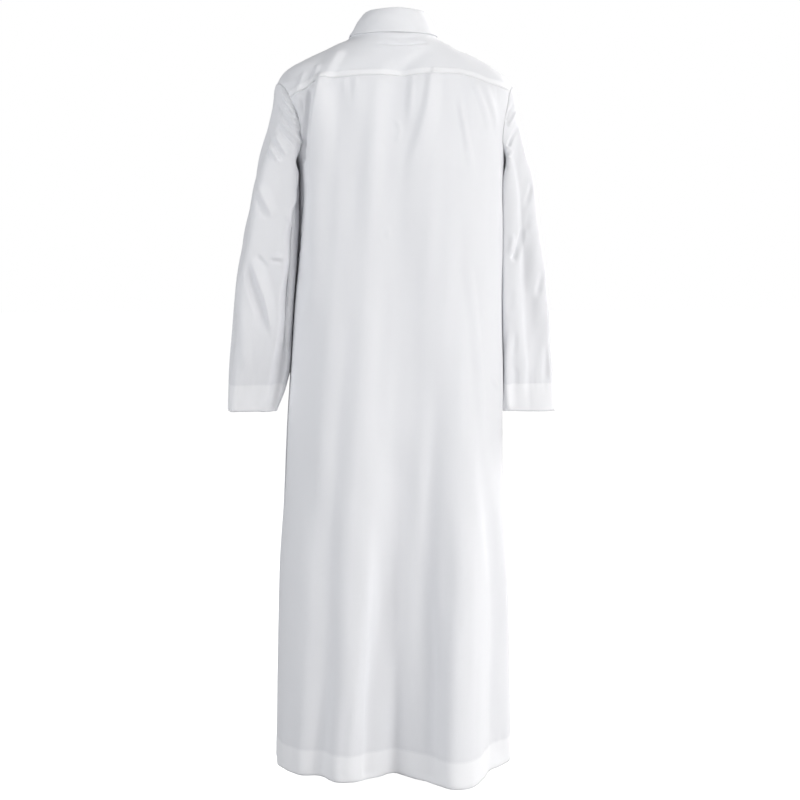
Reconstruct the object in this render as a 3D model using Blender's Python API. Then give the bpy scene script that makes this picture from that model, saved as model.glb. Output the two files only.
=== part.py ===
"""Ankle-length thobe robe, hanging open and hollow as it is worn.

Metres, +Z up. +Y is the way the wearer faces, so the back of the robe faces -Y, and +X is the wearer's
right hand side. The origin is the middle of the neck opening, where the wearer's neck and shoulders hold
the robe.

Every cloth piece is cut from one of two surfaces. The body surface is a stack of rings: a ring is a
superellipse at a level below the neck, and a point on it is given by its angle from the centre back. The
sleeve surface starts on the armhole, a closed curve on the body surface, and runs over rings along the arm.
Neighbouring pieces share the points of their seam, drawn back by half the seam gap.
"""
import math
from collections import namedtuple

import bmesh
import bpy
import numpy as np
from mathutils import Vector

# Driving dimensions.
HEM_LEVEL = -1.387
TURN_UP_LEVEL = -1.337
ARMPIT_LEVEL = -0.240
WALL = 0.0015
TURN_UP_WALL = 0.0012
SEAM_GAP = 0.0003
LAYER_GAP = 0.0003
FRONT_NECK_DROP = 0.045
NECK_DROP_ENDS = -0.130

# Rings of the body surface. Depths are measured from the shoulder line.
Ring = namedtuple("Ring", "level centre half_width back_depth front_depth squareness")
BODY_RINGS = (
    Ring(0.000, -0.001, 0.0745, 0.068, 0.066, 2.1),
    Ring(-0.015, -0.003, 0.0835, 0.0745, 0.074, 2.1),
    Ring(-0.030, -0.003, 0.1130, 0.082, 0.084, 2.1),
    Ring(-0.045, -0.003, 0.1460, 0.089, 0.093, 2.1),
    Ring(-0.060, -0.003, 0.1765, 0.096, 0.102, 2.2),
    Ring(-0.075, -0.003, 0.2000, 0.103, 0.110, 2.3),
    Ring(-0.090, -0.001, 0.2145, 0.109, 0.117, 2.4),
    Ring(-0.105, 0.000, 0.2220, 0.115, 0.123, 2.5),
    Ring(-0.130, 0.002, 0.2220, 0.123, 0.131, 2.6),
    Ring(-0.170, 0.005, 0.2140, 0.131, 0.137, 2.7),
    Ring(-0.210, 0.007, 0.2030, 0.136, 0.140, 2.7),
    Ring(-0.260, 0.009, 0.1955, 0.139, 0.140, 2.8),
    Ring(-0.330, 0.009, 0.1925, 0.139, 0.140, 2.8),
    Ring(-0.420, 0.007, 0.1940, 0.136, 0.139, 2.8),
    Ring(-0.500, 0.004, 0.1970, 0.134, 0.138, 2.7),
    Ring(-0.630, 0.003, 0.2015, 0.134, 0.139, 2.6),
    Ring(-0.750, 0.000, 0.2045, 0.138, 0.141, 2.6),
    Ring(-0.880, -0.002, 0.2110, 0.142, 0.144, 2.5),
    Ring(-1.000, -0.003, 0.2180, 0.145, 0.147, 2.5),
    Ring(-1.150, -0.003, 0.2238, 0.149, 0.150, 2.4),
    Ring(HEM_LEVEL, -0.003, 0.2285, 0.153, 0.155, 2.4),
)

# Large folds. x is the fold's middle; reach is its half breadth; a negative height is a trough.
Fold = namedtuple("Fold", "face top bottom x_top x_bottom reach_top reach_bottom height_top height_bottom")
BACK, FRONT = -1.0, 1.0
FOLDS = (
    Fold(BACK, -0.45, -1.60, 0.138, 0.100, 0.060, 0.092, 0.000, 0.092),
    Fold(BACK, -0.70, -1.60, -0.004, 0.002, 0.050, 0.062, 0.000, -0.056),
    Fold(BACK, -0.50, -1.60, -0.060, -0.108, 0.070, 0.075, 0.000, 0.017),
    Fold(BACK, -0.10, -1.60, -0.075, -0.170, 0.035, 0.040, -0.007, -0.010),
    Fold(BACK, -0.09, -0.55, -0.137, -0.160, 0.026, 0.030, 0.010, 0.004),
    Fold(FRONT, -0.45, -1.60, 0.085, 0.110, 0.060, 0.080, 0.000, 0.050),
    Fold(FRONT, -0.55, -1.60, 0.010, -0.006, 0.050, 0.060, 0.000, -0.040),
    Fold(FRONT, -0.50, -1.60, -0.085, -0.105, 0.065, 0.080, 0.000, 0.042),
)
FOLD_END = 0.14

# Armhole: an oval on the body surface, in level and angle, from the shoulder tip round to the armpit.
ARMHOLE_MIDDLE = -0.170
ARMHOLE_HALF_HEIGHT = 0.070
ARMHOLE_HALF_ANGLE = math.radians(35.0)
ARMHOLE_ROUNDNESS = 0.5
ARMPIT_DIP = 0.014
ARMPIT_DIP_SHARPNESS = 8
YOKE_FRONT_PHASE = math.radians(-24.0)
YOKE_BACK_PHASE = {"left": math.radians(55.0), "right": math.radians(36.0)}
SIDE_SIGN = {"left": -1.0, "right": 1.0}

# Back yoke seam between its two armhole corners.
SeamPoint = namedtuple("SeamPoint", "angle level")
BACK_YOKE_SEAM = (
    SeamPoint(-48.0, -0.1190),
    SeamPoint(-37.0, -0.1010),
    SeamPoint(-18.0, -0.0925),
    SeamPoint(0.0, -0.0912),
    SeamPoint(19.0, -0.0875),
    SeamPoint(29.0, -0.0870),
    SeamPoint(36.0, -0.0920),
    SeamPoint(43.0, -0.1010),
    SeamPoint(54.0, -0.1085),
)
NECK_END_OF_YOKE = math.radians(118.0)

# Rings of each sleeve, from the upper arm to the cuff.
SleeveRing = namedtuple("SleeveRing", "level x y half_width half_depth")
SLEEVE_RINGS = {
    "left": (
        SleeveRing(-0.310, -0.2320, 0.010, 0.0385, 0.083),
        SleeveRing(-0.400, -0.2430, 0.013, 0.0455, 0.078),
        SleeveRing(-0.500, -0.2520, 0.018, 0.0515, 0.073),
        SleeveRing(-0.600, -0.2590, 0.025, 0.0530, 0.064),
        SleeveRing(-0.660, -0.2630, 0.030, 0.0515, 0.056),
        SleeveRing(-0.712, -0.2710, 0.034, 0.0475, 0.049),
    ),
    "right": (
        SleeveRing(-0.310, 0.2350, 0.022, 0.0330, 0.085),
        SleeveRing(-0.400, 0.2440, 0.026, 0.0375, 0.080),
        SleeveRing(-0.500, 0.2525, 0.031, 0.0420, 0.074),
        SleeveRing(-0.600, 0.2600, 0.036, 0.0455, 0.065),
        SleeveRing(-0.662, 0.2650, 0.040, 0.0460, 0.057),
        SleeveRing(-0.716, 0.2715, 0.043, 0.0450, 0.050),
    ),
}
SLEEVE_SQUARENESS = 2.2
SLEEVE_SPREAD = 0.45
SLEEVE_CLEARANCE = 0.007
CLEARANCE_RISE = 0.012

# Collar: a leaning stand and a leaf that folds down over it.
CollarRow = namedtuple("CollarRow", "angle stand_top leaf_level leaf_standoff")
COLLAR_ROWS = (
    CollarRow(0.0, 0.0340, -0.0120, 0.0085),
    CollarRow(50.0, 0.0320, -0.0110, 0.0065),
    CollarRow(90.0, 0.0265, -0.0090, 0.0060),
    CollarRow(130.0, 0.0030, -0.0250, 0.0080),
    CollarRow(158.0, -0.0140, -0.0500, 0.0060),
    CollarRow(192.0, -0.0170, -0.0850, 0.0060),
)
STAND_TOP = Ring(0.0, 0.000, 0.0575, 0.0590, 0.0600, 2.1)
STAND_ROWS = 2
STAND_LIFT = 0.0006
LAP_START = math.radians(-155.0)
LAP_RISE = 0.0024
LEAF_COLUMNS = 38
STAND_LAP = math.radians(11.6)
LEAF_TOP_END = math.radians(170.0)
LEAF_FOOT_END = math.radians(157.0)
LEAF_BULGE = 0.0065
LEAF_CREST = 0.0016

# Placket and buttons.
PLACKET_HALF_WIDTH = 0.016
PLACKET_TOP_SHARE = 0.12
PLACKET_ROWS_BELOW_ARMPIT = 2
SLIT_HALF_WIDTH = 0.0005
BUTTON_LEVELS = (-0.062, -0.142, -0.222, -0.302)
BUTTON_RADIUS = 0.0055
BUTTON_THICKNESS = 0.0024
BUTTON_EDGE = 0.0006
BUTTON_SIDES = 18

# How finely each piece is divided.
YOKE_ROWS = 6
YOKE_ARC_COLUMNS = 6
BACK_COLUMNS = 24
NECK_FRONT_ANGLES = (137.0, 155.0)
UPPER_ROWS = 8
ARMPIT_CROWDING = 1.6
LOWER_LEVELS = (-0.300, -0.360, -0.440, -0.530, -0.630, -0.740, -0.850, -0.960, -1.070, -1.170, -1.260)
SLEEVE_CAP_ROWS = 7
LEAF_SHARES = (0.0, 0.16, 0.42, 0.75, 1.0)
SHORTER_DIAGONAL = 0.9
STEP_ANGLE = 0.004
STEP_LEVEL = 0.0006


def smooth_step(share):
    """Ease from 0 to 1 with flat ends."""
    share = np.clip(share, 0.0, 1.0)
    return share * share * (3.0 - 2.0 * share)


def smooth_table(where, places, values):
    """Read a table as one smooth curve that doesn't overshoot its rows.

    Each stretch is a cubic whose end slopes are the harmonic means of the slopes beside them.
    """
    order = np.argsort(places)
    places = np.asarray(places, float)[order]
    values = np.asarray(values, float)[order]
    chords = np.diff(values) / np.diff(places)
    product = chords[:-1] * chords[1:]
    total = np.where(product > 0.0, chords[:-1] + chords[1:], 1.0)
    inner = np.where(product > 0.0, 2.0 * product / total, 0.0)
    slopes = np.concatenate(([chords[0]], inner, [chords[-1]]))
    where = np.clip(where, places[0], places[-1])
    index = np.clip(np.searchsorted(places, where) - 1, 0, len(places) - 2)
    length = places[index + 1] - places[index]
    t = (where - places[index]) / length
    start = (2.0 * t + 1.0) * (1.0 - t) ** 2 * values[index]
    finish = t * t * (3.0 - 2.0 * t) * values[index + 1]
    bend = t * (1.0 - t) * ((1.0 - t) * slopes[index] - t * slopes[index + 1]) * length
    return start + finish + bend


def unit(vectors):
    """Scale vectors to length one."""
    return vectors / np.linalg.norm(vectors, axis=-1, keepdims=True)


def ring_column(name, level):
    """One column of the body's ring table, read at a level."""
    levels = [ring.level for ring in BODY_RINGS]
    return smooth_table(level, levels, [getattr(ring, name) for ring in BODY_RINGS])


def superellipse(angle, squareness):
    """Unit superellipse by its true angle from the centre back: shares of the half breadth and depth."""
    sine, cosine = np.sin(angle), np.cos(angle)
    reach = (np.abs(sine) ** squareness + np.abs(cosine) ** squareness) ** (-1.0 / squareness)
    return reach * sine, -reach * cosine


def fold_height(x, y_share, level):
    """Sum of the fold table's raised-cosine ridges and troughs at a point of the body."""
    height = np.zeros(np.broadcast(x, level).shape)
    for fold in FOLDS:
        run = (fold.top - level) / (fold.top - fold.bottom)
        middle = fold.x_top + (fold.x_bottom - fold.x_top) * run
        reach = fold.reach_top + (fold.reach_bottom - fold.reach_top) * run
        size = fold.height_top + (fold.height_bottom - fold.height_top) * run
        across = np.clip(np.abs(x - middle) / reach, 0.0, 1.0)
        bump = 0.5 + 0.5 * np.cos(np.pi * across)
        ends = smooth_step(run / FOLD_END) * smooth_step((1.0 - run) / FOLD_END)
        on_face = smooth_step(2.5 * np.maximum(fold.face * y_share, 0.0))
        height += size * bump * ends * on_face
    return height


def body(angle, level):
    """Point of the body surface: a ring point, lowered at the front neck, moved outward by the folds."""
    angle, level = np.broadcast_arrays(np.asarray(angle, float), np.asarray(level, float))
    half_width = ring_column("half_width", level)
    across, along = superellipse(angle, ring_column("squareness", level))
    depth = np.where(along < 0.0, ring_column("back_depth", level), ring_column("front_depth", level))
    x = ring_column("centre", level) + half_width * across
    y = depth * along
    drop = FRONT_NECK_DROP * smooth_step(np.maximum(along, 0.0)) * smooth_step(1.0 - level / NECK_DROP_ENDS)
    outward = unit(np.stack([across / half_width, along / depth, np.zeros_like(x)], -1))
    point = np.stack([x, y, level - drop], -1)
    return point + outward * fold_height(x, along, level)[..., None]


def body_normal(angle, level):
    """Outward normal of the body surface, from two short steps along it."""
    across = body(angle + STEP_ANGLE, level) - body(angle - STEP_ANGLE, level)
    downward = body(angle, level - STEP_LEVEL) - body(angle, level + STEP_LEVEL)
    return unit(np.cross(downward, across))


def armhole(side, phase):
    """Angle and level of the armhole: phase 0 is the shoulder tip, 90 degrees the back, 180 the armpit."""
    level = ARMHOLE_MIDDLE + ARMHOLE_HALF_HEIGHT * np.cos(phase)
    sine = np.sin(phase)
    swing = ARMHOLE_HALF_ANGLE * np.sign(sine) * np.abs(sine) ** ARMHOLE_ROUNDNESS
    return SIDE_SIGN[side] * (math.pi / 2.0 - swing), level


def armhole_phases(side):
    """Phases shared by the yoke, the back, the front and the sleeve, in order round the armhole."""
    from_armpit = np.linspace(0.0, 1.0, UPPER_ROWS + 1) ** ARMPIT_CROWDING
    over = np.linspace(YOKE_FRONT_PHASE, YOKE_BACK_PHASE[side], YOKE_ARC_COLUMNS + 1)
    behind = math.pi - from_armpit[::-1] * (math.pi - YOKE_BACK_PHASE[side])
    ahead = math.pi + from_armpit * (math.pi + YOKE_FRONT_PHASE)
    return {"over": over, "behind": behind, "ahead": ahead}


def fill_patch(top, bottom, start, end):
    """Fill a patch between four edges of (angle, level) points.

    Rows run evenly from top to bottom. How far each side edge strays from even rows is added near that
    side, and eases to nothing at the middle.
    """
    across = np.linspace(0.0, 1.0, len(top))[None, :, None]
    down = np.linspace(0.0, 1.0, len(start))[:, None, None]
    even = (1.0 - down) * top[None] + down * bottom[None]
    start_stray = start[:, None] - even[:, :1]
    end_stray = end[:, None] - even[:, -1:]
    return even + smooth_step(1.0 - 2.0 * across) * start_stray + smooth_step(2.0 * across - 1.0) * end_stray


def pairs(angle, level):
    """Angles and levels as an array of (angle, level) points."""
    return np.stack(np.broadcast_arrays(angle, level), -1).astype(float)


def yoke_layout():
    """Angle and level of the yoke's grid, from the neck outward and from the left side to the right."""
    left = armhole_phases("left")["over"]
    right = armhole_phases("right")["over"][::-1]
    left_arc = pairs(*armhole("left", left))
    right_arc = pairs(*armhole("right", right))
    angles = np.linspace(left_arc[-1, 0], right_arc[0, 0], BACK_COLUMNS + 1)
    places = [left_arc[-1, 0]] + [math.radians(row.angle) for row in BACK_YOKE_SEAM] + [right_arc[0, 0]]
    levels = [left_arc[-1, 1]] + [row.level for row in BACK_YOKE_SEAM] + [right_arc[0, 1]]
    seam = pairs(angles, smooth_table(angles, places, levels))
    outer = np.concatenate([left_arc[:-1], seam, right_arc[1:]])
    neck = pairs(np.linspace(-NECK_END_OF_YOKE, NECK_END_OF_YOKE, len(outer)), 0.0)
    share = np.linspace(0.0, 1.0, YOKE_ROWS + 1)[:, None, None]
    return neck[None] * (1.0 - share) + outer[None] * share


def armpit_row(angles):
    """Row that leaves both armpits and dips a little between them, so that the sleeves' roots stay clear."""
    toward_side = np.abs(np.abs(angles - angles.mean()) / (math.pi / 2.0))
    return pairs(angles, ARMPIT_LEVEL - ARMPIT_DIP * (1.0 - toward_side ** ARMPIT_DIP_SHARPNESS))


def back_layout():
    """Angle and level of the back's grid, from the yoke seam to the hem."""
    top = yoke_layout()[-1, YOKE_ARC_COLUMNS:YOKE_ARC_COLUMNS + BACK_COLUMNS + 1]
    angles = np.linspace(-math.pi / 2.0, math.pi / 2.0, BACK_COLUMNS + 1)
    left = pairs(*armhole("left", armhole_phases("left")["behind"]))
    right = pairs(*armhole("right", armhole_phases("right")["behind"]))
    upper = fill_patch(top, armpit_row(angles), left, right)
    return np.concatenate([upper, lower_layout(angles)])


def lower_layout(angles):
    """Rows below the armpit at the same angles."""
    levels = np.array(LOWER_LEVELS + (TURN_UP_LEVEL, HEM_LEVEL))
    return pairs(angles[None, :], levels[:, None])


def front_angle(x, level):
    """Angle at which the front of the body surface lies at x, near its middle."""
    return math.pi + np.arctan((ring_column("centre", level) - x) / ring_column("half_width", level))


def strip_angles(level):
    """Angles of the placket's edges and of the slit's edges, at one level of the front."""
    x = np.array([PLACKET_HALF_WIDTH, SLIT_HALF_WIDTH, -SLIT_HALF_WIDTH, -PLACKET_HALF_WIDTH])
    return front_angle(x, level)


def front_layout():
    """Angle and level of the front's grid, from the right side round to the left side."""
    yoke = yoke_layout()
    turn = np.array([2.0 * math.pi, 0.0])
    right_neck = np.radians(NECK_FRONT_ANGLES)
    neck_angles = np.concatenate([right_neck, strip_angles(0.0), 2.0 * math.pi - right_neck[::-1]])
    top = np.concatenate([yoke[::-1, -1], pairs(neck_angles, 0.0), yoke[:, 0] + turn])
    strip = strip_angles(ARMPIT_LEVEL)
    right_angles = np.linspace(math.pi / 2.0, strip[0], len(top) // 2 - 1)
    angles = np.concatenate([right_angles, strip[1:3], 2.0 * math.pi - right_angles[::-1]])
    start = pairs(*armhole("right", armhole_phases("right")["ahead"][::-1]))
    end = pairs(*armhole("left", armhole_phases("left")["ahead"][::-1])) + turn
    upper = fill_patch(top, armpit_row(angles), start, end)
    layout = np.concatenate([upper, lower_layout(angles)])
    middle = layout.shape[1] // 2
    for row in layout:
        row[middle - 2:middle + 2, 0] = strip_angles(row[middle, 1])
    return layout


def sleeve_ring(side, section, phase):
    """Points of one sleeve ring: phase 0 is its outer side, 90 degrees its back."""
    across, along = superellipse(math.pi / 2.0 - phase, SLEEVE_SQUARENESS)
    x = section.x + SIDE_SIGN[side] * section.half_width * across
    y = section.y + section.half_depth * along
    return np.stack([x, y, np.full_like(x, section.level)], -1)


def clear_of_body(side, points, armhole_points):
    """Move sleeve points sideways until they clear the body's side, more the lower they hang."""
    level = points[..., 2]
    along = points[..., 1]
    depth = np.where(along < 0.0, ring_column("back_depth", level), ring_column("front_depth", level))
    share = np.clip(np.abs(along) / depth, 0.0, 1.0)
    squareness = ring_column("squareness", level)
    half_width = ring_column("half_width", level) * (1.0 - share ** squareness) ** (1.0 / squareness)
    below = np.linalg.norm(points - armhole_points, axis=-1)
    clearance = SLEEVE_CLEARANCE * (1.0 - np.exp(-below / CLEARANCE_RISE))
    limit = half_width + SIDE_SIGN[side] * ring_column("centre", level) + clearance
    limit = np.where(below > 0.0, limit, -1.0)
    x = SIDE_SIGN[side] * np.maximum(SIDE_SIGN[side] * points[..., 0], limit)
    return np.stack([x, along, level], -1)


def sleeve_grid(side):
    """Outer points of a sleeve, from the armhole to the cuff, and round the arm by the armhole's phases."""
    parts = armhole_phases(side)
    phases = np.concatenate([parts["over"], parts["behind"][1:], parts["ahead"][1:-1]])
    root = body(*armhole(side, phases))
    rings = SLEEVE_RINGS[side]
    first = sleeve_ring(side, rings[0], phases)
    reach = np.linalg.norm(first - root, axis=-1, keepdims=True)
    spread = SLEEVE_SPREAD * (0.5 - 0.5 * np.cos(phases))[:, None] * np.array([SIDE_SIGN[side], 0.0, 0.0])
    leave = unit(unit(first - root) + spread) * reach
    arrive = unit(sleeve_ring(side, rings[1], phases) - first) * reach
    rows = []
    for t in np.linspace(0.0, 1.0, SLEEVE_CAP_ROWS + 1):
        start = (1.0 + 2.0 * t) * (1.0 - t) ** 2 * root + t * (1.0 - t) ** 2 * leave
        finish = t * t * (3.0 - 2.0 * t) * first - t * t * (1.0 - t) * arrive
        rows.append(clear_of_body(side, start + finish, root))
    for section in rings[1:]:
        rows.append(clear_of_body(side, sleeve_ring(side, section, phases), root))
    return np.array(rows)


def grid_normals(grid, closed):
    """Outward normals of a grid whose columns run round by increasing angle and whose rows run down."""
    down = np.gradient(grid, axis=0)
    if closed:
        across = np.roll(grid, -1, axis=1) - np.roll(grid, 1, axis=1)
    else:
        across = np.gradient(grid, axis=1)
    return unit(np.cross(down, across))


def grid_faces(points, closed=False, flipped=False, skipped=()):
    """Triangles of a grid, two to a cell, split along the cell's clearly shorter diagonal."""
    rows, columns = points.shape[:2]
    corners = points.reshape(-1, 3)
    faces = []
    for row in range(rows - 1):
        for column in range(columns if closed else columns - 1):
            if (row, column) in skipped:
                continue
            a = row * columns + column
            b = row * columns + (column + 1) % columns
            c, d = a + columns, b + columns
            falling = np.linalg.norm(corners[d] - corners[a])
            rising = np.linalg.norm(corners[c] - corners[b])
            if rising < falling * SHORTER_DIAGONAL:
                faces += [(a, c, b), (b, c, d)]
            else:
                faces += [(a, c, d), (a, d, b)]
    return [face[::-1] for face in faces] if flipped else faces


def make_material(name, colour, roughness):
    """Plain Principled material."""
    material = bpy.data.materials.new(name)
    material.use_nodes = True
    shader = material.node_tree.nodes["Principled BSDF"]
    shader.inputs["Base Color"].default_value = (*colour, 1.0)
    shader.inputs["Roughness"].default_value = roughness
    shader.inputs["Metallic"].default_value = 0.0
    return material


def add_object(name, mesh, material):
    """Put a mesh into the scene as a named object with its material."""
    mesh.materials.append(material)
    thing = bpy.data.objects.new(name, mesh)
    bpy.context.scene.collection.objects.link(thing)
    return thing


def add_wall(name, outer, normals, thickness, faces, material):
    """Closed cloth wall: the outer skin, an inner skin moved in along the normals, and rims joining them."""
    outer = outer.reshape(-1, 3)
    inner = outer - normals.reshape(-1, 3) * thickness
    count = len(outer)
    edges = {(face[i], face[(i + 1) % 3]) for face in faces for i in range(3)}
    rims = [(b, a, a + count, b + count) for a, b in sorted(edges) if (b, a) not in edges]
    used = sorted({corner for face in faces for corner in face})
    shape = bmesh.new()
    made = {}
    for index in used:
        made[index] = shape.verts.new(outer[index])
        made[index + count] = shape.verts.new(inner[index])
    for face in faces:
        shape.faces.new([made[index] for index in face])
        shape.faces.new([made[index + count] for index in reversed(face)])
    for rim in rims:
        shape.faces.new([made[index] for index in rim])
    mesh = bpy.data.meshes.new(name)
    shape.to_mesh(mesh)
    shape.free()
    return add_object(name, mesh, material)


def square_to(edge, neighbour):
    """Unit steps from an edge towards the neighbouring line of points, square to the edge."""
    along = unit(np.gradient(edge, axis=0))
    step = neighbour - edge
    return unit(step - np.sum(step * along, axis=-1, keepdims=True) * along)


def draw_back(grid, edges):
    """Draw the named edges of a grid back from their seams along the surface."""
    grid = grid.copy()
    if "top" in edges:
        grid[0] += square_to(grid[0], grid[1]) * SEAM_GAP
    if "bottom" in edges:
        grid[-1] += square_to(grid[-1], grid[-2]) * SEAM_GAP
    if "start" in edges:
        grid[:, 0] += square_to(grid[:, 0], grid[:, 1]) * SEAM_GAP
    if "end" in edges:
        grid[:, -1] += square_to(grid[:, -1], grid[:, -2]) * SEAM_GAP
    return grid


def armhole_normals(side):
    """Normals along the armhole, halfway between the body's and the sleeve's, for each shared stretch."""
    grid = sleeve_grid(side)
    parts = armhole_phases(side)
    phases = np.concatenate([parts["over"], parts["behind"][1:], parts["ahead"][1:-1]])
    sleeve = grid_normals(grid, True)[0] * -SIDE_SIGN[side]
    shared = unit(sleeve + body_normal(*armhole(side, phases)))
    over = len(parts["over"])
    behind = over + len(parts["behind"]) - 1
    return {
        "all": shared,
        "over": shared[:over],
        "behind": shared[over - 1:behind],
        "ahead": np.concatenate([shared[behind - 1:], shared[:1]]),
    }


def add_body_piece(name, layout, drawn, seam_normals, material, skipped=()):
    """Cloth piece cut from the body surface.

    seam_normals gives (rows, columns, normals) for the stretches it shares with the sleeves.
    """
    angle, level = layout[..., 0], layout[..., 1]
    points = draw_back(body(angle, level), drawn)
    normals = body_normal(angle, level)
    for rows, columns, shared in seam_normals:
        normals[rows, columns] = shared
    add_wall(name, points, normals, WALL, grid_faces(points, skipped=skipped), material)


def add_yoke(material):
    """Shoulder yoke, from the neck to the armholes and the back and front yoke seams."""
    arc = YOKE_ARC_COLUMNS + 1
    left = (-1, slice(0, arc), armhole_normals("left")["over"])
    right = (-1, slice(-arc, None), armhole_normals("right")["over"][::-1])
    add_body_piece("yoke", yoke_layout(), ("top", "bottom", "start", "end"), (left, right), material)


def add_back(material):
    """Back panel, from the yoke seam to the hem."""
    upper = slice(0, UPPER_ROWS + 1)
    left = (upper, 0, armhole_normals("left")["behind"])
    right = (upper, -1, armhole_normals("right")["behind"])
    add_body_piece("back", back_layout(), ("top", "start", "end"), (left, right), material)


def add_front(material):
    """Front panel, with a slit from the neck that ends one row above the placket's foot."""
    layout = front_layout()
    upper = slice(0, UPPER_ROWS + 1)
    right = (upper, 0, armhole_normals("right")["ahead"][::-1])
    left = (upper, -1, armhole_normals("left")["ahead"][::-1])
    middle = layout.shape[1] // 2 - 1
    slit = {(row, middle) for row in range(UPPER_ROWS + PLACKET_ROWS_BELOW_ARMPIT - 1)}
    add_body_piece("front", layout, ("top", "start", "end"), (right, left), material, skipped=slit)


def add_placket(material):
    """Strip over the slit: the front's own points at the centre, moved out by one layer."""
    layout = front_layout()
    middle = layout.shape[1] // 2
    foot = UPPER_ROWS + PLACKET_ROWS_BELOW_ARMPIT + 1
    strip = layout[:foot, middle - 2:middle + 2]
    points = body(strip[..., 0], strip[..., 1])
    normals = body_normal(strip[..., 0], strip[..., 1])
    points[0] += (points[1] - points[0]) * PLACKET_TOP_SHARE
    normals[0] = unit(normals[0] + (normals[1] - normals[0]) * PLACKET_TOP_SHARE)
    points += normals * (LAYER_GAP + WALL)
    add_wall("placket", points, normals, WALL, grid_faces(points), material)


def add_hem_turn_up(material):
    """Turned-up hem all round: the panels' two lowest rows, moved in behind their walls."""
    back = back_layout()[-2:]
    front = front_layout()[-2:]
    ring = np.concatenate([back, front[:, 1:-1]], axis=1)
    normals = body_normal(ring[..., 0], ring[..., 1])
    points = body(ring[..., 0], ring[..., 1]) - normals * (WALL + LAYER_GAP)
    points = draw_back(points, ("bottom",))
    add_wall("hem_turnup", points, normals, TURN_UP_WALL, grid_faces(points, closed=True), material)


def add_sleeve(side, material):
    """Sleeve and the turned-up hem inside its end."""
    grid = sleeve_grid(side)
    normals = grid_normals(grid, True) * -SIDE_SIGN[side]
    turn_up = draw_back(grid[-2:] - normals[-2:] * (WALL + LAYER_GAP), ("bottom",))
    turn_up_normals = normals[-2:]
    normals[0] = armhole_normals(side)["all"]
    flipped = side == "right"
    faces = grid_faces(grid, closed=True, flipped=flipped)
    add_wall(f"sleeve_{side}", draw_back(grid, ("top",)), normals, WALL, faces, material)
    faces = grid_faces(turn_up, closed=True, flipped=flipped)
    add_wall(f"cuff_hem_{side}", turn_up, turn_up_normals, TURN_UP_WALL, faces, material)


def collar_column(name, angle):
    """One column of the collar's table, read at an angle from the centre back."""
    places = [math.radians(row.angle) for row in COLLAR_ROWS]
    return smooth_table(np.abs(angle), places, [getattr(row, name) for row in COLLAR_ROWS])


def stand_points(angle, share):
    """Point of the collar stand: share 0 is its top edge, 1 the neck seam. The left end laps over."""
    across, along = superellipse(angle, STAND_TOP.squareness)
    depth = np.where(along < 0.0, STAND_TOP.back_depth, STAND_TOP.front_depth)
    top = np.stack([STAND_TOP.centre + STAND_TOP.half_width * across, depth * along,
                    collar_column("stand_top", angle)], -1)
    foot = body(angle, 0.0) + np.array([0.0, 0.0, STAND_LIFT])
    outward = unit(np.stack([across, along, np.zeros_like(across)], -1))
    lap = LAP_RISE * smooth_step((LAP_START - angle) / (LAP_START + math.pi - STAND_LAP))
    return top + (foot - top) * share + outward * lap[..., None]


def add_collar(material):
    """Collar stand round the neck, and the leaf that folds down over it."""
    lap = strip_angles(0.0)
    beside = np.radians(NECK_FRONT_ANGLES)
    angle = np.concatenate([lap - 2.0 * math.pi, -beside[::-1], yoke_layout()[0, :, 0], beside, lap])
    shares = np.linspace(0.0, 1.0, STAND_ROWS + 1)
    stand = np.array([stand_points(angle, share) for share in shares])
    add_wall("collar_stand", stand, grid_normals(stand, False), WALL, grid_faces(stand), material)

    crest_angle = np.linspace(-LEAF_TOP_END, LEAF_TOP_END, LEAF_COLUMNS + 1)
    foot_angle = np.linspace(-LEAF_FOOT_END, LEAF_FOOT_END, LEAF_COLUMNS + 1)
    across, along = superellipse(crest_angle, STAND_TOP.squareness)
    outward = unit(np.stack([across, along, np.zeros_like(across)], -1))
    upward = np.array([0.0, 0.0, 1.0])
    top_edge = np.stack([np.interp(crest_angle, angle, coordinate) for coordinate in stand[0].T], -1)
    crest = top_edge + upward * (WALL + 3.0 * LAYER_GAP) - outward * WALL / 2.0
    shoulder = crest + outward * LEAF_BULGE + upward * LEAF_CREST
    foot_level = collar_column("leaf_level", foot_angle)
    standoff = collar_column("leaf_standoff", foot_angle)[:, None]
    foot = body(foot_angle, foot_level) + body_normal(foot_angle, foot_level) * standoff
    share = np.array(LEAF_SHARES)[:, None, None]
    leaf = (1.0 - share) ** 2 * crest + 2.0 * share * (1.0 - share) * shoulder + share ** 2 * foot
    add_wall("collar_leaf", leaf, grid_normals(leaf, False), WALL, grid_faces(leaf), material)


def button_mesh():
    """Turned button: a dished face inside a round rim, on a flat base."""
    radius, height = BUTTON_RADIUS, BUTTON_THICKNESS
    profile = (
        (0.0, height * 0.58),
        (radius * 0.50, height * 0.60),
        (radius * 0.68, height * 0.88),
        (radius * 0.84, height),
        (radius - BUTTON_EDGE * 0.3, height * 0.78),
        (radius, height * 0.45),
        (radius - BUTTON_EDGE, 0.0),
        (0.0, 0.0),
    )
    shape = bmesh.new()
    corners = [shape.verts.new((x, 0.0, z)) for x, z in profile]
    edges = [shape.edges.new(pair) for pair in zip(corners, corners[1:])]
    bmesh.ops.spin(shape, geom=corners + edges, cent=(0.0, 0.0, 0.0), axis=(0.0, 0.0, 1.0),
                   angle=2.0 * math.pi, steps=BUTTON_SIDES, use_merge=True)
    bmesh.ops.remove_doubles(shape, verts=shape.verts, dist=1e-6)
    bmesh.ops.recalc_face_normals(shape, faces=shape.faces)
    mesh = bpy.data.meshes.new("button")
    shape.to_mesh(mesh)
    shape.free()
    mesh.shade_smooth()
    return mesh


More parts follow.
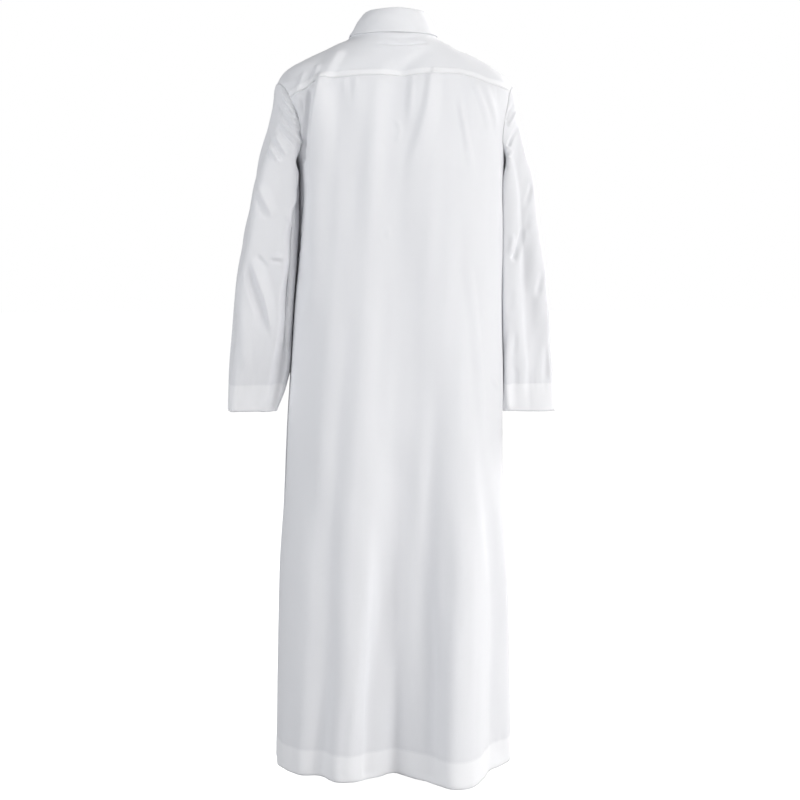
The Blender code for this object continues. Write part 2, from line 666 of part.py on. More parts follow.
def add_buttons(material):
    """One button on the lapped end of the stand, the others down the placket."""
    angle = np.array([-math.pi - STAND_LAP / 2.0, -math.pi, -math.pi + STAND_LAP / 2.0])
    patch = np.array([stand_points(angle, share) for share in (0.3, 0.5, 0.7)])
    places = [(patch[1, 1], grid_normals(patch, False)[1, 1])]
    for level in BUTTON_LEVELS:
        angle = front_angle(0.0, level)
        normal = body_normal(angle, level)
        places.append((body(angle, level) + normal * (LAYER_GAP + WALL), normal))
    for number, (point, normal) in enumerate(places, start=1):
        button = add_object(f"button_{number}", button_mesh(), material)
        button.location = Vector(point + normal * 2.0 * LAYER_GAP)
        button.rotation_euler = Vector(normal).to_track_quat("Z", "Y").to_euler()


def build():
    """Clear the scene and make every piece."""
    for thing in list(bpy.data.objects):
        bpy.data.objects.remove(thing, do_unlink=True)
    cloth = make_material("white_cloth", (0.86, 0.87, 0.89), 0.75)
    pearl = make_material("pearl_button", (0.88, 0.88, 0.86), 0.30)
    add_yoke(cloth)
    add_back(cloth)
    add_front(cloth)
    add_placket(cloth)
    add_hem_turn_up(cloth)
    add_sleeve("left", cloth)
    add_sleeve("right", cloth)
    add_collar(cloth)
    add_buttons(pearl)


build()
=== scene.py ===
"""Ankle-length thobe robe: the cloth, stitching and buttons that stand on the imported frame.

Metres, +Z up. The back of the robe faces -Y and the wearer's right is +X. Every cloth piece is a thin shell
on one of two surfaces: the body surface, a stack of superellipse rings, and the sleeve surface, which runs
from the armhole over rings along the arm. Creases, seam ridges and puckers are added along the normals.
"""
import logging
import math
from collections.abc import Callable
from dataclasses import dataclass, field
from enum import Enum

import bpy
import numpy as np
from mathutils import Matrix, Vector


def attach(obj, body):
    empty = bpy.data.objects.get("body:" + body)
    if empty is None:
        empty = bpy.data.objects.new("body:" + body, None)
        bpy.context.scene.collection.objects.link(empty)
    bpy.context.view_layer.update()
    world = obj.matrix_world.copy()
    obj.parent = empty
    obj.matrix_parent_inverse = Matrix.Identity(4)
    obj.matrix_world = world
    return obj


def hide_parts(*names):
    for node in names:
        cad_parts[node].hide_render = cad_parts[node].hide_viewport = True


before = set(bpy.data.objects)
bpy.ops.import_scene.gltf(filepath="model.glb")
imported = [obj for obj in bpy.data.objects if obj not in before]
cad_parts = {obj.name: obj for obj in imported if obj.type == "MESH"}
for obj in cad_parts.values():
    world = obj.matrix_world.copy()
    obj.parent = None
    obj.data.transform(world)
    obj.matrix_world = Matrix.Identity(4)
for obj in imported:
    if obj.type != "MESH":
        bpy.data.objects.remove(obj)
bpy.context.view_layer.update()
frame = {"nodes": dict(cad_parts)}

Array = np.ndarray
Placing = Callable[[Array, Array], Array]
Value = bpy.types.NodeSocket | float
Colour = bpy.types.NodeSocket | tuple[float, ...]
LOG = logging.getLogger("thobe")
MM = 0.001
STITCH_LIFT = 0.0002


class Face(Enum):
    """Side of the body surface."""

    BACK = -1.0
    FRONT = 1.0


class Side(Enum):
    """The wearer's side; the value is the sign of X."""

    LEFT = -1.0
    RIGHT = 1.0

    @property
    def word(self) -> str:
        """Name used for pieces."""
        return self.name.lower()


# Curves and grids.


def smooth_step(share: Array) -> Array:
    """Ease from 0 to 1 with flat ends: 3t^2 - 2t^3."""
    share = np.clip(share, 0.0, 1.0)
    return share * share * (3.0 - 2.0 * share)


def window(value: Array, knots: tuple[float, float, float, float]) -> Array:
    """Ease from 0 at the first knot to 1 at the second, and from 1 at the third back to 0 at the last."""
    start, full, last, end = knots
    return smooth_step((value - start) / (full - start)) * smooth_step((end - value) / (end - last))


def smooth_table(where: Array, places: Array, values: Array) -> Array:
    """Read a table as one smooth curve that doesn't overshoot its rows.

    Each stretch is a cubic whose end slopes are the harmonic means of the chord slopes beside them.

    Args:
        where: Places to read at.
        places: The rows' places, in any order.
        values: The rows' values.

    Returns:
        Values at those places.
    """
    order = np.argsort(places)
    places = np.asarray(places, float)[order]
    values = np.asarray(values, float)[order]
    chords = np.diff(values) / np.diff(places)
    product = chords[:-1] * chords[1:]
    total = np.where(product > 0.0, chords[:-1] + chords[1:], 1.0)
    inner = np.where(product > 0.0, 2.0 * product / total, 0.0)
    slopes = np.concatenate(([chords[0]], inner, [chords[-1]]))
    where = np.clip(where, places[0], places[-1])
    index = np.clip(np.searchsorted(places, where) - 1, 0, len(places) - 2)
    length = places[index + 1] - places[index]
    t = (where - places[index]) / length
    start = (2.0 * t + 1.0) * (1.0 - t) ** 2 * values[index]
    finish = t * t * (3.0 - 2.0 * t) * values[index + 1]
    bend = t * (1.0 - t) * ((1.0 - t) * slopes[index] - t * slopes[index + 1]) * length
    return start + finish + bend


def unit(vectors: Array) -> Array:
    """Vectors scaled to length one."""
    return vectors / np.maximum(np.linalg.norm(vectors, axis=-1, keepdims=True), 1e-12)


def superellipse(angle: Array, squareness: Array) -> tuple[Array, Array]:
    """Unit superellipse |a|^n + |b|^n = 1 by true angle: shares of the half breadth and of the depth."""
    sine, cosine = np.sin(angle), np.cos(angle)
    reach = (np.abs(sine) ** squareness + np.abs(cosine) ** squareness) ** (-1.0 / squareness)
    return reach * sine, -reach * cosine


def run_lengths(grid: Array, axis: int) -> Array:
    """Length travelled along a grid's lines from their first point: the running sum of the step lengths."""
    steps = np.linalg.norm(np.diff(grid, axis=axis), axis=-1)
    pad = [(0, 0), (0, 0)]
    pad[axis] = (1, 0)
    return np.cumsum(np.pad(steps, pad), axis=axis)


def grid_normals(grid: Array, closed: bool, sign: float = 1.0) -> Array:
    """Normals of a grid: the cross product of its central differences down and across."""
    down = np.gradient(grid, axis=0)
    if closed:
        across = np.roll(grid, -1, axis=1) - np.roll(grid, 1, axis=1)
    else:
        across = np.gradient(grid, axis=1)
    return unit(np.cross(down, across)) * sign


@dataclass(frozen=True)
class Waves:
    """Smooth uneven relief: sine waves through space, in seeded directions and phases.

    lengths holds the typical wavelength along X, Y and Z, and size is the root mean square height.
    """

    lengths: tuple[float, float, float]
    size: float
    seed: int
    count: int = 9

    def height(self, points: Array) -> Array:
        """Sum over the waves of sin(place . direction + phase)."""
        shape = (self.count, 3)
        draw = np.random.default_rng(self.seed)
        spread = draw.uniform(0.55, 1.7, shape) * draw.choice([-1.0, 1.0], shape)
        pull = spread * 2.0 * math.pi / np.array(self.lengths) * draw.uniform(0.4, 1.0, shape)
        phase = draw.uniform(0.0, 2.0 * math.pi, self.count)
        return np.sin(points @ pull.T + phase).sum(-1) * self.size * math.sqrt(2.0 / self.count)


# The view from behind.


@dataclass(frozen=True)
class View:
    """The camera's place, aim and lens; its frame is measured from the top left, in 800ths of its side."""

    place: tuple[float, float, float] = (-0.3041, -2.9846, -0.4300)
    turn: float = math.radians(-6.0)
    tilt: float = math.radians(5.0)
    lens: float = 70.875
    sensor: float = 36.0
    frame: float = 800.0

    def axes(self) -> tuple[Array, Array, Array]:
        """Unit vectors to the right, upward and ahead."""
        right = np.array([math.cos(self.turn), math.sin(self.turn), 0.0])
        level = np.array([-math.sin(self.turn), math.cos(self.turn), 0.0])
        ahead = level * math.cos(self.tilt) - np.array([0.0, 0.0, math.sin(self.tilt)])
        return right, np.cross(right, ahead), ahead

    def spots(self, points: Array) -> Array:
        """Frame places of points: right and down shares of the distance ahead, scaled by the lens."""
        right, up, ahead = self.axes()
        away = points - np.array(self.place)
        shares = np.stack([away @ right, -(away @ up)], -1) / (away @ ahead)[..., None]
        return self.frame * (0.5 + self.lens / self.sensor * shares)

    def sights(self, spots: Array) -> Array:
        """Unit directions from the camera through frame places."""
        right, up, ahead = self.axes()
        shares = (spots / self.frame - 0.5) * self.sensor / self.lens
        return unit(ahead + shares[..., :1] * right - shares[..., 1:] * up)


@dataclass
class SeenCloth:
    """The cloth that faces the camera, on which creases are laid by their places in the frame."""

    points: Array
    normals: Array
    view: View = View()
    margin: float = 8.0
    depth_weight: float = 200.0
    flattest: float = 0.12
    furthest: float = 0.008
    spots: Array = field(init=False)
    depths: Array = field(init=False)

    def __post_init__(self) -> None:
        """Keep the points whose normals face the camera, with their frame places."""
        points, normals = self.points.reshape(-1, 3), self.normals.reshape(-1, 3)
        away = points - np.array(self.view.place)
        facing = (away * normals).sum(-1) < 0.0
        self.points, self.normals = points[facing], normals[facing]
        self.spots = self.view.spots(self.points)
        self.depths = away[facing] @ self.view.axes()[2]

    def place(self, across: Array, down: Array) -> Array:
        """Points of the cloth seen at the given frame places.

        The nearest kept point is found first, then the line of sight is met with its tangent plane. Where
        the cloth turns away from sight, or the meeting lies far off, that nearest point is taken itself.

        Args:
            across: Frame places from the left.
            down: Frame places from the top.

        Returns:
            Points on the cloth.
        """
        wanted = np.stack([across, down], -1)
        low, high = wanted.min(0) - self.margin, wanted.max(0) + self.margin
        near = np.all((self.spots > low) & (self.spots < high), -1)
        apart = ((wanted[:, None] - self.spots[near]) ** 2).sum(-1) + self.depth_weight * self.depths[near]
        nearest = apart.argmin(1)
        points, normals = self.points[near][nearest], self.normals[near][nearest]
        sights = self.view.sights(wanted)
        slant = (sights * normals).sum(-1)
        steep = np.abs(slant) > self.flattest
        reach = ((points - self.view.place) * normals).sum(-1) / np.where(steep, slant, 1.0)
        met = np.array(self.view.place) + sights * reach[:, None]
        close = steep & (np.linalg.norm(met - points, axis=-1) < self.furthest)
        return np.where(close[:, None], met, points)


# The body surface.


@dataclass(frozen=True)
class Ring:
    """One level of the body surface; depths are measured from the shoulder line."""

    level: float
    centre: float
    half_width: float
    back_depth: float
    front_depth: float
    squareness: float


@dataclass(frozen=True)
class Fold:
    """Large raised-cosine fold; a negative height is a trough."""

    face: Face
    top: float
    bottom: float
    x_top: float
    x_bottom: float
    reach_top: float
    reach_bottom: float
    height_top: float
    height_bottom: float


HEM_LEVEL = -1.387
HEM_STITCH_LEVEL = -1.337
ARMPIT_LEVEL = -0.240

BODY_RINGS = (
    Ring(0.000, -0.001, 0.0745, 0.068, 0.066, 2.1),
    Ring(-0.015, -0.003, 0.0835, 0.0745, 0.074, 2.1),
    Ring(-0.030, -0.003, 0.1130, 0.082, 0.084, 2.1),
    Ring(-0.045, -0.003, 0.1460, 0.089, 0.093, 2.1),
    Ring(-0.060, -0.003, 0.1765, 0.096, 0.102, 2.2),
    Ring(-0.075, -0.003, 0.2000, 0.103, 0.110, 2.3),
    Ring(-0.090, -0.001, 0.2145, 0.109, 0.117, 2.4),
    Ring(-0.105, 0.000, 0.2220, 0.115, 0.123, 2.5),
    Ring(-0.130, 0.002, 0.2220, 0.123, 0.131, 2.6),
    Ring(-0.170, 0.005, 0.2140, 0.131, 0.137, 2.7),
    Ring(-0.210, 0.007, 0.2030, 0.136, 0.140, 2.7),
    Ring(-0.260, 0.009, 0.1955, 0.139, 0.140, 2.8),
    Ring(-0.330, 0.009, 0.1925, 0.139, 0.140, 2.8),
    Ring(-0.420, 0.007, 0.1940, 0.136, 0.139, 2.8),
    Ring(-0.500, 0.004, 0.1970, 0.134, 0.138, 2.7),
    Ring(-0.630, 0.003, 0.2015, 0.134, 0.139, 2.6),
    Ring(-0.750, 0.000, 0.2045, 0.138, 0.141, 2.6),
    Ring(-0.880, -0.002, 0.2110, 0.142, 0.144, 2.5),
    Ring(-1.000, -0.003, 0.2180, 0.145, 0.147, 2.5),
    Ring(-1.150, -0.003, 0.2238, 0.149, 0.150, 2.4),
    Ring(HEM_LEVEL, -0.003, 0.2285, 0.153, 0.155, 2.4),
)
BODY_FOLDS = (
    Fold(Face.BACK, -0.45, -1.60, 0.126, 0.084, 0.060, 0.096, 0.000, 0.086),
    Fold(Face.BACK, -0.70, -1.60, -0.010, -0.014, 0.050, 0.062, 0.000, -0.056),
    Fold(Face.BACK, -0.50, -1.60, -0.060, -0.108, 0.070, 0.075, 0.000, 0.017),
    Fold(Face.BACK, -0.10, -1.60, -0.075, -0.170, 0.035, 0.040, -0.007, -0.010),
    Fold(Face.BACK, -0.09, -0.55, -0.137, -0.160, 0.026, 0.030, 0.010, 0.004),
    Fold(Face.FRONT, -0.45, -1.60, 0.085, 0.110, 0.060, 0.080, 0.000, 0.050),
    Fold(Face.FRONT, -0.55, -1.60, 0.010, -0.006, 0.050, 0.060, 0.000, -0.040),
    Fold(Face.FRONT, -0.50, -1.60, -0.085, -0.105, 0.065, 0.080, 0.000, 0.042),
)


@dataclass(frozen=True)
class BodyForm:
    """The body surface: a point is given by its angle from the centre back and its level."""

    rings: tuple[Ring, ...] = BODY_RINGS
    folds: tuple[Fold, ...] = BODY_FOLDS
    front_neck_drop: float = 0.045
    neck_drop_ends: float = -0.130
    fold_end: float = 0.14
    angle_step: float = 0.004
    level_step: float = 0.0006

    def column(self, name: str, level: Array) -> Array:
        """One column of the ring table, read at a level."""
        return smooth_table(level, [r.level for r in self.rings], [getattr(r, name) for r in self.rings])

    def fold_height(self, x: Array, y_share: Array, level: Array) -> Array:
        """Sum of the fold table: cosine bumps across, eased at both ends of their run."""
        height = np.zeros(np.broadcast(x, level).shape)
        for fold in self.folds:
            run = (fold.top - level) / (fold.top - fold.bottom)
            middle = fold.x_top + (fold.x_bottom - fold.x_top) * run
            reach = fold.reach_top + (fold.reach_bottom - fold.reach_top) * run
            size = fold.height_top + (fold.height_bottom - fold.height_top) * run
            across = np.clip(np.abs(x - middle) / reach, 0.0, 1.0)
            ends = smooth_step(run / self.fold_end) * smooth_step((1.0 - run) / self.fold_end)
            on_face = smooth_step(2.5 * np.maximum(fold.face.value * y_share, 0.0))
            height += size * (0.5 + 0.5 * np.cos(np.pi * across)) * ends * on_face
        return height

    def point(self, angle: Array, level: Array) -> Array:
        """Points of the surface: ring points, lowered at the front neck and moved out by the folds.

        Args:
            angle: Angle from the centre back, towards the wearer's right.
            level: Height before the front neck's drop.

        Returns:
            Points, (..., 3).
        """
        angle, level = np.broadcast_arrays(np.asarray(angle, float), np.asarray(level, float))
        half_width = self.column("half_width", level)
        across, along = superellipse(angle, self.column("squareness", level))
        depth = np.where(along < 0.0, self.column("back_depth", level), self.column("front_depth", level))
        x = self.column("centre", level) + half_width * across
        ease = smooth_step(np.maximum(along, 0.0)) * smooth_step(1.0 - level / self.neck_drop_ends)
        outward = unit(np.stack([across / half_width, along / depth, np.zeros_like(x)], -1))
        point = np.stack([x, depth * along, level - self.front_neck_drop * ease], -1)
        return point + outward * self.fold_height(x, along, level)[..., None]

    def normal(self, angle: Array, level: Array) -> Array:
        """Outward normals, from two short steps along the surface."""
        across = self.point(angle + self.angle_step, level) - self.point(angle - self.angle_step, level)
        down = self.point(angle, level - self.level_step) - self.point(angle, level + self.level_step)
        return unit(np.cross(down, across))

    def front_angle(self, x: Array, level: float) -> Array:
        """Angle of the front at x, near its middle: pi + atan((centre - x) / half width)."""
        return math.pi + np.arctan((self.column("centre", level) - x) / self.column("half_width", level))

    def front_place(self, x: Array, level: Array) -> Array:
        """Points of the front at the given x and level: the angle is read off each level's ring."""
        swing = np.linspace(-math.pi / 2.0, math.pi / 2.0, 361)
        share = superellipse(swing, self.column("squareness", level)[:, None])[0]
        rings = self.column("centre", level)[:, None] + self.column("half_width", level)[:, None] * share
        angle = np.array([np.interp(place, ring, swing) for place, ring in zip(x, rings)])
        return self.point(math.pi - angle, level)


@dataclass(frozen=True)
class Armhole:
    """Oval on the body surface; phase 0 is the shoulder tip, 90 degrees the back, 180 the armpit."""

    side: Side
    middle: float = -0.170
    half_height: float = 0.070
    half_angle: float = math.radians(35.0)
    roundness: float = 0.5
    yoke_front: float = math.radians(-24.0)
    crowding: float = 1.6

    @property
    def yoke_back(self) -> float:
        """Phase of the back yoke seam."""
        return math.radians(55.0 if self.side is Side.LEFT else 36.0)

    def place(self, phase: Array) -> Array:
        """(angle, level) points: level by the cosine, angle by a power of the sine."""
        sine = np.sin(phase)
        swing = self.half_angle * np.sign(sine) * np.abs(sine) ** self.roundness
        level = self.middle + self.half_height * np.cos(phase)
        return np.stack([self.side.value * (math.pi / 2.0 - swing), level], -1)

    def over(self, count: int) -> Array:
        """Phases shared with the yoke, from front to back."""
        return np.linspace(self.yoke_front, self.yoke_back, count + 1)

    def behind(self, count: int) -> Array:
        """Phases shared with the back panel, from the yoke down to the armpit."""
        share = np.linspace(0.0, 1.0, count + 1) ** self.crowding
        return math.pi - share[::-1] * (math.pi - self.yoke_back)

    def ahead(self, count: int) -> Array:
        """Phases shared with the front panel, from the armpit up to the yoke."""
        share = np.linspace(0.0, 1.0, count + 1) ** self.crowding
        return math.pi + share * (math.pi + self.yoke_front)


@dataclass(frozen=True)
class SeamPoint:
    """Point of the back yoke seam: angle in degrees, and level."""

    angle: float
    level: float


BACK_YOKE_SEAM = (
    SeamPoint(-48.0, -0.1190),
    SeamPoint(-37.0, -0.1010),
    SeamPoint(-18.0, -0.0925),
    SeamPoint(0.0, -0.0912),
    SeamPoint(19.0, -0.0875),
    SeamPoint(29.0, -0.0870),
    SeamPoint(36.0, -0.0920),
    SeamPoint(43.0, -0.1010),
    SeamPoint(54.0, -0.1085),
)


@dataclass(frozen=True)
class BodyCut:
    """Where the body surface is cut into yoke, back and front; every grid holds (angle, level) pairs."""

    form: BodyForm = BodyForm()
    left: Armhole = Armhole(Side.LEFT)
    right: Armhole = Armhole(Side.RIGHT)
    arc_columns: int = 26
    back_columns: int = 156
    yoke_rows: int = 58
    upper_rows: int = 58
    lower_rows: int = 246
    neck_columns: int = 12
    yoke_neck_end: float = math.radians(118.0)
    placket_half_width: float = 0.016
    slit_half_width: float = 0.0005
    strip_end: float = -0.365
    armpit_dip: float = 0.014
    dip_sharpness: float = 8.0

    def yoke(self) -> Array:
        """Yoke grid: straight lines from the neck ring out to the armholes and the back seam."""
        left_arc = self.left.place(self.left.over(self.arc_columns))
        right_arc = self.right.place(self.right.over(self.arc_columns)[::-1])
        angles = np.linspace(left_arc[-1, 0], right_arc[0, 0], self.back_columns + 1)
        places = [left_arc[-1, 0]] + [math.radians(row.angle) for row in BACK_YOKE_SEAM] + [right_arc[0, 0]]
        levels = [left_arc[-1, 1]] + [row.level for row in BACK_YOKE_SEAM] + [right_arc[0, 1]]
        seam = np.stack([angles, smooth_table(angles, places, levels)], -1)
        outer = np.concatenate([left_arc[:-1], seam, right_arc[1:]])
        neck = np.stack([np.linspace(-self.yoke_neck_end, self.yoke_neck_end, len(outer)),
                         np.zeros(len(outer))], -1)
        share = np.linspace(0.0, 1.0, self.yoke_rows + 1)[:, None, None]
        return neck[None] * (1.0 - share) + outer[None] * share

    def armpit_row(self, angles: Array) -> Array:
        """Row from armpit to armpit that dips a little between them."""
        toward_side = np.abs(np.abs(angles - angles.mean()) / (math.pi / 2.0))
        dip = self.armpit_dip * (1.0 - toward_side ** self.dip_sharpness)
        return np.stack([angles, ARMPIT_LEVEL - dip], -1)

    def filled(self, top: Array, bottom: Array, start: Array, end: Array) -> Array:
        """Patch between four edges: even rows, plus each side edge's stray, eased to nothing halfway."""
        across = np.linspace(0.0, 1.0, len(top))[None, :, None]
        down = np.linspace(0.0, 1.0, len(start))[:, None, None]
        even = (1.0 - down) * top[None] + down * bottom[None]
        strays = smooth_step(1.0 - 2.0 * across) * (start[:, None] - even[:, :1])
        return even + strays + smooth_step(2.0 * across - 1.0) * (end[:, None] - even[:, -1:])

    def lowered(self, upper: Array) -> Array:
        """Add the rows from the armpits to the hem, with one row on the hem's stitch line."""
        rows = np.linspace(0.0, 1.0, self.lower_rows + 1)[1:, None]
        start = upper[-1, :, 1]
        levels = start + (HEM_LEVEL - start) * rows
        angles = np.broadcast_to(upper[-1, :, 0], levels.shape)
        return np.concatenate([upper, np.stack([angles, levels], -1)])

    def back(self) -> Array:
        """Back grid, from the yoke seam to the hem."""
        top = self.yoke()[-1, self.arc_columns:self.arc_columns + self.back_columns + 1]
        angles = np.linspace(-math.pi / 2.0, math.pi / 2.0, self.back_columns + 1)
        left = self.left.place(self.left.behind(self.upper_rows))
        right = self.right.place(self.right.behind(self.upper_rows))
        return self.lowered(self.filled(top, self.armpit_row(angles), left, right))

    def strip(self, level: float) -> Array:
        """Angles of the placket's edges and the slit's edges."""
        x = np.array([self.placket_half_width, self.slit_half_width,
                      -self.slit_half_width, -self.placket_half_width])
        return self.form.front_angle(x, level)

    def neck_side(self) -> Array:
        """Angles along the front neck between the yoke and the placket."""
        end = self.strip(0.0)[0]
        return self.yoke_neck_end + (end - self.yoke_neck_end) * np.arange(1, self.neck_columns + 1) / (
            self.neck_columns + 1)

    def front(self) -> Array:
        """Front grid, from the right side round to the left side, with a slit at its centre."""
        yoke = self.yoke()[::2]
        turn = np.array([2.0 * math.pi, 0.0])
        beside = self.neck_side()
        neck = np.concatenate([beside, self.strip(0.0), 2.0 * math.pi - beside[::-1]])
        neck = np.stack([neck, np.zeros(len(neck))], -1)
        top = np.concatenate([yoke[::-1, -1], neck, yoke[:, 0] + turn])
        strip = self.strip(ARMPIT_LEVEL)
        count = len(top) // 2 - 1
        angles = np.concatenate([np.linspace(math.pi / 2.0, strip[0], count), strip[1:3],
                                 np.linspace(strip[-1], 1.5 * math.pi, count)])
        start = self.right.place(self.right.ahead(self.upper_rows)[::-1])
        end = self.left.place(self.left.ahead(self.upper_rows)[::-1]) + turn
        layout = self.lowered(self.filled(top, self.armpit_row(angles), start, end))
        middle = layout.shape[1] // 2
        for row in layout:
            row[middle - 2:middle + 2, 0] = self.strip(max(row[middle, 1], self.strip_end))
        return layout


# The sleeve surface.


@dataclass(frozen=True)
class SleeveRing:
    """One level of a sleeve."""

    level: float
    x: float
    y: float
    half_width: float
    half_depth: float


SLEEVE_RINGS = {
    Side.LEFT: (
        SleeveRing(-0.310, -0.2320, 0.010, 0.0385, 0.083),
        SleeveRing(-0.400, -0.2430, 0.013, 0.0455, 0.078),
        SleeveRing(-0.500, -0.2520, 0.018, 0.0515, 0.073),
        SleeveRing(-0.600, -0.2590, 0.025, 0.0530, 0.064),
        SleeveRing(-0.660, -0.2630, 0.030, 0.0515, 0.056),
        SleeveRing(-0.712, -0.2710, 0.034, 0.0475, 0.049),
    ),
    Side.RIGHT: (
        SleeveRing(-0.310, 0.2350, 0.022, 0.0330, 0.085),
        SleeveRing(-0.400, 0.2440, 0.026, 0.0375, 0.080),
        SleeveRing(-0.500, 0.2525, 0.031, 0.0420, 0.074),
        SleeveRing(-0.600, 0.2600, 0.036, 0.0455, 0.065),
        SleeveRing(-0.662, 0.2650, 0.040, 0.0460, 0.057),
        SleeveRing(-0.716, 0.2715, 0.043, 0.0450, 0.050),
    ),
}


@dataclass(frozen=True)
class Rest:
    """Where a sleeve rests against the body's side: windows of phase, in degrees, and of level."""

    phases: tuple[float, float, float, float]
    levels: tuple[float, float, float, float]
    gap: float = 0.0009

    def share(self, phase: Array, level: Array) -> Array:
        """How far each point has settled on the body, from 0 to 1."""
        return window(phase, self.phases) * window(level, self.levels)


RESTS = {
    Side.LEFT: Rest((118.0, 150.0, 214.0, 248.0), (-0.235, -0.275, -0.600, -0.715)),
    Side.RIGHT: Rest((112.0, 142.0, 214.0, 248.0), (-0.235, -0.275, -0.690, -0.790)),
}

# How far a sleeve's back corner stands out behind, in metres.
BACK_SWINGS = {Side.LEFT: 0.000, Side.RIGHT: 0.010}


@dataclass
class SleeveForm:
    """The sleeve surface, from the armhole to the cuff; a point is given by its phase and its row."""

    side: Side
    body: BodyForm = BodyForm()
    cut: BodyCut = BodyCut()
    squareness: float = 2.2
    flat_back: float = 2.4
    flat_phases: tuple[float, float, float, float] = (20.0, 55.0, 150.0, 175.0)
    corner: float = 4.0
    corner_phases: tuple[float, float, float, float] = (100.0, 125.0, 148.0, 178.0)
    swing_levels: tuple[float, float, float, float] = (-0.22, -0.30, -0.64, -0.74)
    spread: float = 0.45
    clearance: float = 0.007
    clearance_rise: float = 0.012
    cap_rows: int = 82
    arm_rows: int = 122
    over_columns: int = 52
    behind_columns: int = 96
    ahead_columns: int = 56
    phases: Array = field(init=False)
    rest: Array = field(init=False)
    grid: Array = field(init=False)

    def __post_init__(self) -> None:
        """Work out the grid once."""
        hole = self.hole
        over, behind = hole.over(self.over_columns), hole.behind(self.behind_columns)
        self.phases = np.concatenate([over, behind[1:], hole.ahead(self.ahead_columns)[1:-1]])
        self.grid = self.surface()

    @property
    def hole(self) -> Armhole:
        """The armhole that this sleeve is set into."""
        return self.cut.left if self.side is Side.LEFT else self.cut.right

    @property
    def rings(self) -> tuple[SleeveRing, ...]:
        """This sleeve's table."""
        return SLEEVE_RINGS[self.side]

    @property
    def cuff_stitch_level(self) -> float:
        """Level of the turned-up cuff hem's stitch line."""
        return self.rings[-2].level

    def ring(self, level: Array) -> Array:
        """Points of the ring at each level, for every phase: a superellipse round the table's centre."""
        levels = [row.level for row in self.rings]
        size = {name: smooth_table(level, levels, [getattr(row, name) for row in self.rings])
                for name in ("x", "y", "half_width", "half_depth")}
        phase = np.degrees(self.phases)
        flat, corner = window(phase, self.flat_phases), window(phase, self.corner_phases)
        across, along = superellipse(math.pi / 2.0 - self.phases,
                                     self.squareness + self.flat_back * flat + self.corner * corner)
        x = size["x"] + self.side.value * size["half_width"] * across
        swing = BACK_SWINGS[self.side] * corner * window(level, self.swing_levels)
        y = size["y"] + size["half_depth"] * along - swing
        return np.stack([x, y, np.broadcast_to(level, x.shape)], -1)

    def body_side(self, points: Array) -> Array:
        """How far out the body's side is at each point's depth and level."""
        level, along = points[..., 2], points[..., 1]
        depth = np.where(along < 0.0, self.body.column("back_depth", level),
                         self.body.column("front_depth", level))
        share = np.clip(np.abs(along) / depth, 0.0, 1.0)
        squareness = self.body.column("squareness", level)
        half = self.body.column("half_width", level) * (1.0 - share ** squareness) ** (1.0 / squareness)
        return half + self.side.value * self.body.column("centre", level)

    def clear(self, points: Array, root: Array) -> Array:
        """Points moved sideways until they clear the body's side, then settled on it where the sleeve rests.

        The clearance grows with the distance from the armhole: 1 - exp(-distance / rise).
        """
        side = self.body_side(points)
        below = np.linalg.norm(points - root, axis=-1)
        gap = self.clearance * (1.0 - np.exp(-below / self.clearance_rise))
        outward = np.maximum(self.side.value * points[..., 0], np.where(below > 0.0, side + gap, -1.0))
        self.rest = RESTS[self.side].share(np.degrees(self.phases), points[..., 2])
        outward = outward + self.rest * (side + RESTS[self.side].gap - outward)
        return np.stack([self.side.value * outward, points[..., 1], points[..., 2]], -1)

    def surface(self) -> Array:
        """Grid of the sleeve: a cubic run from the armhole to the first ring, then the rings.

        Returns:
            Points, (rows, phases, 3), from the armhole to the cuff.
        """
        place = self.hole.place(self.phases)
        root = self.body.point(place[:, 0], place[:, 1])
        first, second = self.ring(self.rings[0].level), self.ring(self.rings[1].level)
        reach = np.linalg.norm(first - root, axis=-1, keepdims=True)
        bulge = self.spread * (0.5 - 0.5 * np.cos(self.phases))[:, None]
        leave = unit(unit(first - root) + bulge * np.array([self.side.value, 0.0, 0.0])) * reach
        arrive = unit(second - first) * reach
        t = np.linspace(0.0, 1.0, self.cap_rows + 1)[:, None, None]
        start = (1.0 + 2.0 * t) * (1.0 - t) ** 2 * root + t * (1.0 - t) ** 2 * leave
        cap = start + t * t * (3.0 - 2.0 * t) * first - t * t * (1.0 - t) * arrive
        levels = np.linspace(self.rings[0].level, self.rings[-1].level, self.arm_rows + 1)[1:, None]
        return self.clear(np.concatenate([cap, self.ring(levels)]), root)


# Relief on the surfaces.


